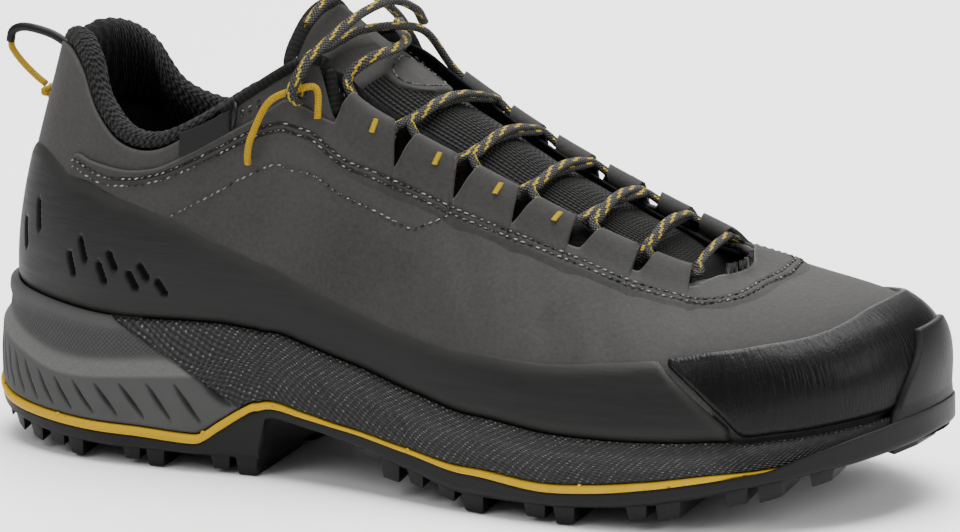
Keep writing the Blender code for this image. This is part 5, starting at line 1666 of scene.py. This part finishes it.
def tongue_sections():
    """Left edge, crest and right edge of the tongue's top face, from the toe to the ankle."""
    found = []
    for x, z, outer, inner in TONGUE_UNDER:
        crest = np.array([x * LENGTH, 0.002, z * INSTEP_HEIGHT])
        left = crest + np.array([0, -outer * HALF_WIDTH, -0.0016])
        right = crest + np.array([0, inner * HALF_WIDTH, -0.0016])
        found.append((left, crest, right))
    for x, z, place in TONGUE_THROAT:
        gap = WALL + CLEARANCE * 2
        left = skin(place, 0.93, -gap)
        right = skin(ROUND - place, 0.93, -gap)
        crest = np.array([x * LENGTH, (left[1] + right[1]) / 2, z * INSTEP_HEIGHT])
        found.append((left, crest, right))
    for x, z, outer, inner, drop, back in TONGUE_TOP:
        crest = np.array([x * LENGTH, 0.001, z * INSTEP_HEIGHT])
        left = crest + np.array([-back * LENGTH, -outer * HALF_WIDTH, -drop * INSTEP_HEIGHT])
        right = crest + np.array([-back * LENGTH, inner * HALF_WIDTH, -drop * INSTEP_HEIGHT])
        found.append((left, crest, right))
    return np.array(found)


TONGUE = tongue_sections()


def tongue_skin(across, along, lift=0.0):
    """Points over the tongue: across from its outer to its inner edge, along from the toe to its top."""
    across, along, lift = np.broadcast_arrays(across, along, lift)

    def face(a, b):
        left, crest, right = [through(TONGUE[:, k], b * (len(TONGUE) - 1)) for k in range(3)]
        side = np.where((a < 0.5)[..., None], left, right)
        f = 1 - np.abs(2 * a - 1)
        level = np.stack([f, f, np.sin(f * math.pi / 2)], -1)
        return side + (crest - side) * level

    here = face(across, along)
    step = 0.004
    over = face(np.minimum(across + step, 1), along) - face(np.maximum(across - step, 0), along)
    ahead = face(across, np.minimum(along + step, 1)) - face(across, np.maximum(along - step, 0))
    return here + unit(np.cross(over, ahead)) * lift[..., None]


def make_tongue():
    """The tongue: ribbed webbing in a flat border; its nubuck top and knit binding are made with the tongue's
    trim.
    """
    ribs = 32
    found = {}

    def place(s, t):
        rib = 0.5 + 0.5 * np.cos(2 * math.pi * (s - 0.5) * ribs)
        border = ramp(s, 0.04, 0.09) * ramp(-s, -0.96, -0.91) * ramp(t, 0.10, 0.24)
        found["rib"] = rib * border
        swell = np.sin(math.pi * np.clip((t * 6.5) % 1, 0, 1)) * 0.0004
        return tongue_skin(s, t, 0.00035 * rib * border + swell * border)

    tongue = sheet("tongue_webbing", 224, 100, place, size=(0.045, 0.17))
    mark(tongue, found)
    add_wall(tongue, TONGUE_THICKNESS)
    settle(tongue, WEBBING, "tongue")


def tongue_panel(name, across, along, lift, corner=0.0):
    """A nubuck patch on the tongue with rounded edges; corner pulls its four corners in."""
    edge = 0.0010
    found = {}

    def place(s, t):
        wide = across[1] - across[0]
        tall = along[1] - along[0]
        a, b = s * 2 - 1, t * 2 - 1
        a_in = a * (1 - corner * (1 - np.sqrt(np.maximum(1 - b**2 * 0.96, 0))))
        x = (across[0] + across[1]) / 2 + a_in * wide / 2
        y = (along[0] + along[1]) / 2 + b * tall / 2
        away = np.minimum((1 - np.abs(a)) * wide * 0.022, (1 - np.abs(b)) * tall * 0.085)
        near = np.clip(away / edge, 0, 1)
        found["edge"] = 1 - ramp(away, edge * 0.3, edge)
        return tongue_skin(x, y, (lift + 0.0004) * np.sqrt(1 - (1 - near) ** 2) - 0.0004)

    piece = sheet(name, 70, 50, place, size=(0.03, 0.03))
    mark(piece, {"edge": found["edge"], "seam": np.zeros_like(found["edge"])})
    settle(piece, OVERLAY)


# Binding round the tongue's top: shares across, up to the middle, and along
TONGUE_RIM = [
    (0.015, 0.66),
    (0.012, 0.74),
    (0.012, 0.82),
    (0.015, 0.90),
    (0.030, 0.965),
    (0.120, 0.995),
    (0.300, 1.0),
    (0.500, 1.0),
]


def patch_stitches():
    """The ring of stitches inside the oval patch's rim."""

    def rim(a):
        return 0.61 + 0.225 * math.cos(a), 0.685 + 0.040 * math.sin(a)

    for a in np.linspace(0, 2 * math.pi, 46, endpoint=False):
        x, y = rim(a)
        here = tongue_skin(x, y)
        ahead = unit(tongue_skin(*rim(a + 0.05)) - here)
        normal = unit(tongue_skin(x, y, 1.0) - here)
        yield stitch(tongue_skin(x, y, 0.0015), ahead, normal, 0.0006, 0.00022, 0.00022)


def edge_stitches():
    """The zigzag along both edges of the tongue's top."""
    for side in (0.0, 1.0):
        for k, y in enumerate(np.linspace(0.70, 0.96, 46)):
            x = abs(side - 0.030 - 0.018 * (k % 2))
            here = tongue_skin(x, y)
            sideways = (tongue_skin(abs(x - 0.01), y) - here) * (1 if k % 2 else -1)
            lean = unit(tongue_skin(x, y + 0.004) - here + sideways)
            normal = unit(tongue_skin(x, y, 1.0) - here)
            yield stitch(tongue_skin(x, y, 0.0014), lean, normal, 0.0009, 0.00024, 0.00026)


def make_tongue_trim():
    """The nubuck top of the tongue, its oval patch with a stitched rim, and the knit binding round the top."""
    tongue_panel("tongue_top", (0.05, 0.95), (0.70, 0.985), 0.0009)
    tongue_panel("tongue_patch", (0.34, 0.88), (0.635, 0.735), 0.0014, corner=0.9)
    settle(scatter("tongue_patch_stitches", patch_stitches()), THREAD)
    rim = TONGUE_RIM + [(1 - x, y) for x, y in reversed(TONGUE_RIM[:-1])]
    points = [tongue_skin(x, y, -0.0012) for x, y in rim]
    binding, _ = cord_mesh("tongue_binding", points, 0.0062, flat=0.8, sides=18)
    settle(binding, BINDING)
    settle(scatter("tongue_edge_stitches", edge_stitches()), THREAD)


TONGUE_TREE = None


def tongue_height(x, y):
    """Height of the tongue's top face at a point of the plan, or nothing beside it."""
    global TONGUE_TREE
    if TONGUE_TREE is None:
        a, b = np.meshgrid(np.linspace(0, 1, 41), np.linspace(0, 1, 61))
        points = tongue_skin(a, b, 0.0004).reshape(-1, 3)
        faces = [(k, k + 1, k + 42, k + 41) for k in range(60 * 41) if k % 41 < 40]
        TONGUE_TREE = BVHTree.FromPolygons([tuple(p) for p in points], faces)
    hit = TONGUE_TREE.ray_cast(Vector((x, y, 1)), Vector((0, 0, -1)))[0]
    return hit.z if hit else 0.0


def strand_route(start, end, above=0.0):
    """A strand from one tab to another: out of a fold, an arch that clears the tongue, and into the other."""
    shares = (0.10, 0.2, 0.35, 0.5, 0.65, 0.8, 0.90)
    rise = 0.001
    for f in shares:
        at = start[-1] + (end[-1] - start[-1]) * f
        need = tongue_height(at[0], at[1]) + LACE_DIAMETER * 0.42 - at[2]
        rise = max(rise, need / math.sin(math.pi * f))
    route = list(start)
    for f in shares:
        lift = (rise + above) * math.sin(math.pi * f)
        route.append(start[-1] + (end[-1] - start[-1]) * f + UP * lift)
    return [*route, *end[::-1]]


def make_laces():
    """The lowest bar of the lace and its five crossings, run through the folds of the tabs."""
    bar = strand_route(over_tab(TABS_OUTER, 5, False, False), over_tab(TABS_INNER, 5, True, False))
    piece, _ = cord_mesh("lace_bar_strand", bar, LACE_DIAMETER, flat=0.62, sides=16)
    settle(piece, LACE, "lace_bar")
    for k in range(5):
        over = strand_route(
            over_tab(TABS_OUTER, k + 1, False, True), over_tab(TABS_INNER, k, True, False), LACE_DIAMETER * 0.55
        )
        under = strand_route(over_tab(TABS_INNER, k + 1, True, True), over_tab(TABS_OUTER, k, False, False))
        pair = [
            cord_mesh(f"strand_{k}_{n}", route, LACE_DIAMETER, flat=0.62, sides=16)[0]
            for n, route in enumerate((over, under))
        ]
        settle(joined(f"crossing_{k + 1}", pair), LACE, f"lace_cross_{k + 1}")


def ring(offset_of, height_of, narrow=1.0):
    return lambda u: on_sole(u, offset_of, height_of, narrow)


def side_height(s, share):
    return s["midsole"] + (s["rim"] - s["midsole"]) * share


def midsole_rings(out=0.0):
    return [
        ring(lambda s: -s["base"] - 0.004, lambda s: s["midsole"]),
        ring(lambda s: out - s["base"], lambda s: s["midsole"]),
        ring(lambda s: out - s["base"] - s["inset"] * 0.02, lambda s: side_height(s, s["crease"] * 0.5)),
        ring(lambda s: out - np.maximum(s["base"], s["inset"] * 0.2), lambda s: side_height(s, s["crease"])),
        ring(
            lambda s: out - np.maximum(s["base"], s["inset"] * (0.25 + 0.45 * s["step"])),
            lambda s: side_height(s, s["crease"] + 0.13),
        ),
        ring(lambda s: out - s["inset"], lambda s: s["rim"] - RIM_ROUND),
        ring(lambda s: out * 0.5 - s["inset"] - CRADLE_WALL * 0.5, lambda s: s["rim"] + RIM_ROUND),
        ring(lambda s: -s["rim_in"], lambda s: s["rim"] - RIM_ROUND),
        ring(lambda s: -s["foot_in"], lambda s: s["footbed"]),
    ]


MIDSOLE_COUNTS = [2, 10, 14, 9, 16, 3, 3, 2]


def split_plane():
    """A point and the forward direction of the slanted cut between the foam and the textured part."""
    back, front = LENGTH * 0.178, LENGTH * 0.329
    top = np.array([back, 0, float(sole(np.array(back))["rim"])])
    bottom = np.array([front, 0, float(sole(np.array(front))["accent_top"])])
    normal = unit(np.cross(bottom - top, np.array([0, 1, 0])))
    return top, normal * np.sign(normal[0])


def split_ahead(points):
    top, normal = split_plane()
    return (points - top) @ normal


def cut_at_split(piece, further, cleared):
    top, normal = split_plane()
    at = Vector(top + normal * further + SHIFT)
    in_edit_mode(piece, ("bisect", {"plane_co": at, "plane_no": Vector(normal), cleared: True}))


def side_share(grid):
    """The sole's heights at a grid of points, their share of the midsole's side, and which face outwards."""
    s = sole(grid[..., 0])
    rows = np.arange(len(grid))[:, None]
    outside = (rows > 1) & (rows < sum(MIDSOLE_COUNTS[:5]) + 2)
    return s, (grid[..., 2] - s["midsole"]) / (s["rim"] - s["midsole"]), outside


def pushed(grid, u, move):
    """The grid of a sole's layer, moved outwards."""
    _, outward = outline(u)
    grid[..., :2] += outward[None] * move[..., None]
    return grid


def rib_depth(u, share):
    """How deep the heel's side, up to its crease, lies in one of the slanted grooves, from 0 to 1."""
    side = np.abs(u)[None, :]
    found = np.zeros_like(share)
    step = 0.022
    for k in range(17):
        place = 0.35 + 0.22 * k * (1 + 0.012 * k)
        low, high = 0.16, 0.90
        along = np.clip((share - low) / (high - low), 0, 1)
        inside = (share > low) & (share < high)
        middle = place + GROOVE_LEAN / step * (1 - 2 * along) * 0.9
        wide = 0.0012 * np.sin(math.pi * along) ** 0.6 + 0.00005
        away = (side - middle) * step
        shape = np.where(away < 0, 1 + away / wide, 1 - away / (wide * 0.35))
        found = np.maximum(found, np.where(inside, np.clip(shape, 0, 1), 0) * np.sin(math.pi * along) ** 0.5)
    return found


def make_midsole():
    """Heel foam with its crease and slanted grooves, and the textured front part that wraps over it."""
    found = {}

    def heel_carve(u, grid):
        s, share, outside = side_share(grid)
        crease = s["crease"]
        band = ramp(share, crease - 0.015, crease + 0.02) * (1 - ramp(share, crease + 0.12, crease + 0.19))
        upper = ramp(share, crease + 0.16, crease + 0.22) * (1 - ramp(share, 0.86, 0.93))
        for key, values in (("band", band), ("upper", upper), ("groove", rib_depth(u, share / crease))):
            found[key] = np.where(outside, values, 0)
        hidden = ramp(split_ahead(grid), 0.0, 0.0012)
        lip = ramp(share, 0.80, 0.92) * 0.0009 * outside * (1 - hidden)
        return pushed(grid, u, lip - GROOVE_DEPTH * found["groove"] - 0.0014 * hidden)

    rings = midsole_rings()
    heel = stack("heel_foam", -5.1, 5.1, 640, rings, MIDSOLE_COUNTS, carve=heel_carve, size=(0.22, 0.05))
    mark(heel, found)
    cut_at_split(heel, 0.005, "clear_outer")
    settle(heel, FOAM, "midsole_heel")

    def wrap_carve(u, grid):
        _, share, outside = side_share(grid)
        tuck = -SPLIT_TUCK * (1 - ramp(split_ahead(grid), 0.0, 0.0011))
        folds = np.zeros_like(share)
        side = side_place(u)[None, :]
        for k in range(7):
            at = 5.45 + 0.17 * k
            folds += bell(side - at, (0.5 - share) * 0.55, 0.06) * (0.8 + 0.4 * math.sin(k * 2.1))
        folds *= ramp(share, 0.05, 0.3) * (1 - ramp(share, 0.62, 0.9))
        return pushed(grid, u, np.where(outside, tuck - 0.00032 * folds, tuck))

    rings = midsole_rings(WRAP_PROUD)
    ends = 2.9, ROUND - 2.9
    wrap = stack("textured_wrap", *ends, 760, rings, MIDSOLE_COUNTS, carve=wrap_carve, size=(0.46, 0.045))
    cut_at_split(wrap, 0.0, "clear_inner")
    settle(wrap, WRAP, "midsole_wrap")


def make_accent():
    """The yellow line between the midsole and the tread, with a few moulding nubs."""
    rings = [
        ring(lambda s: -s["base"] - 0.004, lambda s: s["accent"]),
        ring(lambda s: ACCENT_PROUD - s["base"], lambda s: s["accent"] - CLEARANCE),
        ring(lambda s: ACCENT_PROUD * 3 - s["base"], lambda s: (s["accent"] + s["accent_top"]) / 2),
        ring(lambda s: ACCENT_PROUD - s["base"], lambda s: s["accent_top"] + CLEARANCE),
        ring(lambda s: -s["base"] - 0.004, lambda s: s["accent_top"]),
    ]
    line = stack("accent_line", 0, ROUND, 620, rings, [2, 4, 4, 2], softer=1)
    spots = []
    for place in (1.35, 2.75, 4.4, 6.6, 8.3, ROUND - 1.35, ROUND - 2.75, ROUND - 4.4, ROUND - 6.6):
        (x, y), _ = outline(place, ACCENT_PROUD)
        spots.append((np.array([x, y, sole(x)["accent_top"]]), *np.eye(3) * 0.0007))
    settle(joined("accent_line", [line, scatter("nubs", spots)]), ACCENT, "accent_layer")


def place_at(x, outer_side):
    """The place on the outline at a distance from the heel."""
    low, high = 0.0, ROUND / 2
    for _ in range(30):
        middle = (low + high) / 2
        if outline(middle)[0][0] < x:
            low = middle
        else:
            high = middle
    return low if outer_side else ROUND - low


def lug_loops():
    """Lower and upper corners of the lugs: blocks on both edges and blocks along the middle."""
    sunk = LUG_HEIGHT * 0.25
    found = []
    for outer_side in (True, False):
        sign = -1 if outer_side else 1
        for first, last, free, lift in EDGE_LUGS:
            corners = []
            for share, shift in ((first, LUG_TAPER), (last, -LUG_TAPER)):
                place = place_at(share * LENGTH, outer_side)
                (x, y), _ = outline(place, -LUG_INSET)
                (low_x, low_y), _ = outline(place, -LUG_INSET - LUG_TAPER)
                reach = abs(outline(place)[0][1])
                inner_y = sign * free * min(reach, HALF_WIDTH * 0.75)
                back = LUG_SLANT * min(1.0, abs(y - inner_y) / HALF_WIDTH * 2.6)
                foot = (low_x + shift, low_y), (low_x + shift - back, inner_y + sign * LUG_TAPER)
                corners.append((*foot, (x, y), (x - back, inner_y)))
            (a, b, a_top, b_top), (d, c, d_top, c_top) = corners
            low = [(x, y, float(sole(x)["tread"]) + lift) for x, y in (a, b, c, d)]
            high = [(x, y, float(sole(x)["plate"]) + sunk) for x, y in (a_top, b_top, c_top, d_top)]
            found.append((low, high))
    for share, side, long, wide in MIDDLE_LUGS:
        x, y = share * LENGTH, side * HALF_WIDTH
        half_length, half_width = long * LENGTH, wide * HALF_WIDTH
        shape = [
            (-half_length, -half_width * 0.5),
            (-half_length, half_width * 0.5),
            (0, half_width),
            (half_length, half_width * 0.5),
            (half_length, -half_width * 0.5),
            (0, -half_width),
        ]
        low = [(x + dx, y + dy, float(sole(x + dx)["tread"])) for dx, dy in shape]
        high = [(x + dx * 1.1, y + dy * 1.1, float(sole(x + dx * 1.1)["plate"]) + sunk) for dx, dy in shape]
        found.append((low, high))
    return found


def make_lug(low, high):
    """One lug: a prism set to its corners, its edges bevelled."""
    deselect()
    bpy.ops.mesh.primitive_cylinder_add(vertices=len(low), radius=0.01, depth=0.01)
    lug = bpy.context.object
    for k, (bottom, top) in enumerate(zip(low, high)):
        lug.data.vertices[2 * k].co = Vector(bottom) + Vector(SHIFT)
        lug.data.vertices[2 * k + 1].co = Vector(top) + Vector(SHIFT)
    lug.data.update()
    in_edit_mode(lug, OUTWARDS, ("bevel", {"offset": 0.0005, "segments": 2, "affect": "EDGES"}))
    return lug


def make_outsole():
    """The tread: a plate with its toe wall, the lugs and the bumper over the toe cap."""
    rings = [
        ring(lambda s: 0.0, lambda s: s["plate"], 0.0),
        ring(lambda s: 0.0, lambda s: s["plate"], 0.7),
        ring(lambda s: -TREAD_CHAMFER, lambda s: s["plate"]),
        ring(lambda s: 0.0, lambda s: s["plate"] + (s["floor"] - s["plate"]) * 0.3),
        ring(lambda s: 0.0, lambda s: s["edge"]),
        ring(lambda s: -TOE_WALL * 0.5, lambda s: s["edge"] + CLEARANCE),
        ring(lambda s: -TOE_WALL, lambda s: s["edge"]),
        ring(lambda s: -TOE_WALL, lambda s: s["floor"]),
    ]
    plate = stack("tread", 0, ROUND, 560, rings, [4, 8, 4, 8, 3, 3, 2], softer=1)
    lugs = [make_lug(low, high) for low, high in lug_loops()]
    tread = joined("tread", [plate, *lugs])
    choose(tread)
    bpy.ops.object.shade_smooth_by_angle(angle=math.radians(34))
    settle(tread, RUBBER, "outsole")
    make_bumper()


def make_bumper():
    """The rubber tab that rises from the toe wall over the cap."""
    over_cap = CAP_LIFT + CAP_THICKNESS + BUMPER_THICKNESS

    def place(s, t):
        row = -0.10 + 0.43 * t
        narrow = ramp(t, 0.15, 1.0)
        first, last = 11.75 + 0.80 * narrow, 14.60 - 0.75 * narrow
        u = first + (last - first) * s
        side = np.minimum(u - first, last - u) * 0.019
        near = np.clip(np.minimum(side, (0.33 - row) * 0.05) / 0.0016, 0, 1)
        edge = 1 - (1 - near) ** 2
        inner = skin(u, np.maximum(row, 0.05), over_cap * np.sqrt(edge) - 0.0004 * (1 - edge))
        edge_point = on_sole(u, lambda s: -TOE_WALL * 0.25, lambda s: s["edge"])
        mix = ramp(row, -0.06, 0.10)[..., None]
        return edge_point * (1 - mix) + inner * mix

    bumper = sheet("toe_bumper", 90, 60, place)
    add_wall(bumper, BUMPER_WALL)
    settle(bumper, RUBBER)


def make_insole():
    """The footbed liner inside."""
    inset = WALL + CLEARANCE * 3
    top = INSOLE_THICKNESS + CLEARANCE
    rings = [
        ring(lambda s: 0.0, lambda s: s["footbed"] + top - 0.0008, 0.0),
        ring(lambda s: -s["foot_in"] - inset - 0.004, lambda s: s["footbed"] + top - 0.0008, 0.8),
        ring(lambda s: -s["foot_in"] - inset - 0.0006, lambda s: s["footbed"] + top),
        ring(lambda s: -s["foot_in"] - inset, lambda s: s["footbed"] + top * 0.6),
        ring(lambda s: -s["foot_in"] - inset, lambda s: s["footbed"] + CLEARANCE),
        ring(lambda s: 0.0, lambda s: s["footbed"] + CLEARANCE, 0.0),
    ]
    insole = stack("footbed_liner", 0, ROUND, 240, rings, [8, 6, 3, 3, 6], softer=1)
    settle(insole, LINING, "insole")


def make_stage():
    """A pale floor and soft studio light."""
    deselect()
    bpy.ops.mesh.primitive_plane_add(size=14, location=(0, 0, -0.0002))
    floor = bpy.context.object
    floor.name = "floor"
    bpy.ops.object.transform_apply(location=True)
    made = bpy.data.materials.new("floor")
    made.use_nodes = True
    shader = made.node_tree.nodes["Principled BSDF"]
    shader.inputs["Base Color"].default_value = (0.94, 0.94, 0.94, 1)
    shader.inputs["Roughness"].default_value = 0.7
    floor.data.materials.append(made)
    world = bpy.data.worlds.new("studio")
    world.use_nodes = True
    background = world.node_tree.nodes["Background"]
    background.inputs["Color"].default_value = (1, 1, 1, 1)
    background.inputs["Strength"].default_value = 0.42
    bpy.context.scene.world = world
    lights = [
        ("key", (-0.7, -1.5, 1.5), 1.3, 15),
        ("top", (0.1, 0.3, 2.2), 2.0, 150),
        ("toe_side", (1.5, -0.3, 0.8), 0.8, 12),
        ("back_rim", (-0.6, 1.3, 1.0), 0.8, 14),
    ]
    for name, place, size, power in lights:
        lamp = bpy.data.lights.new(name, "AREA")
        lamp.size = size
        lamp.energy = power
        light = bpy.data.objects.new(name, lamp)
        bpy.context.scene.collection.objects.link(light)
        aim = (Vector(place) - Vector((0, 0, 0.05))).to_track_quat("Z", "Y")
        light.matrix_world = Matrix.Translation(place) @ aim.to_matrix().to_4x4()


make_camera()
make_top_laces()
make_top_loops()
make_pull_loop()
make_outsole()
make_accent()
make_midsole()
make_insole()
make_upper()
make_film()
make_cap()
make_facing()
make_gusset()
make_stitches()
make_bartacks()
make_collar()
make_flap_binding()
make_label()
make_tongue()
make_tongue_trim()
make_laces()
make_stage()
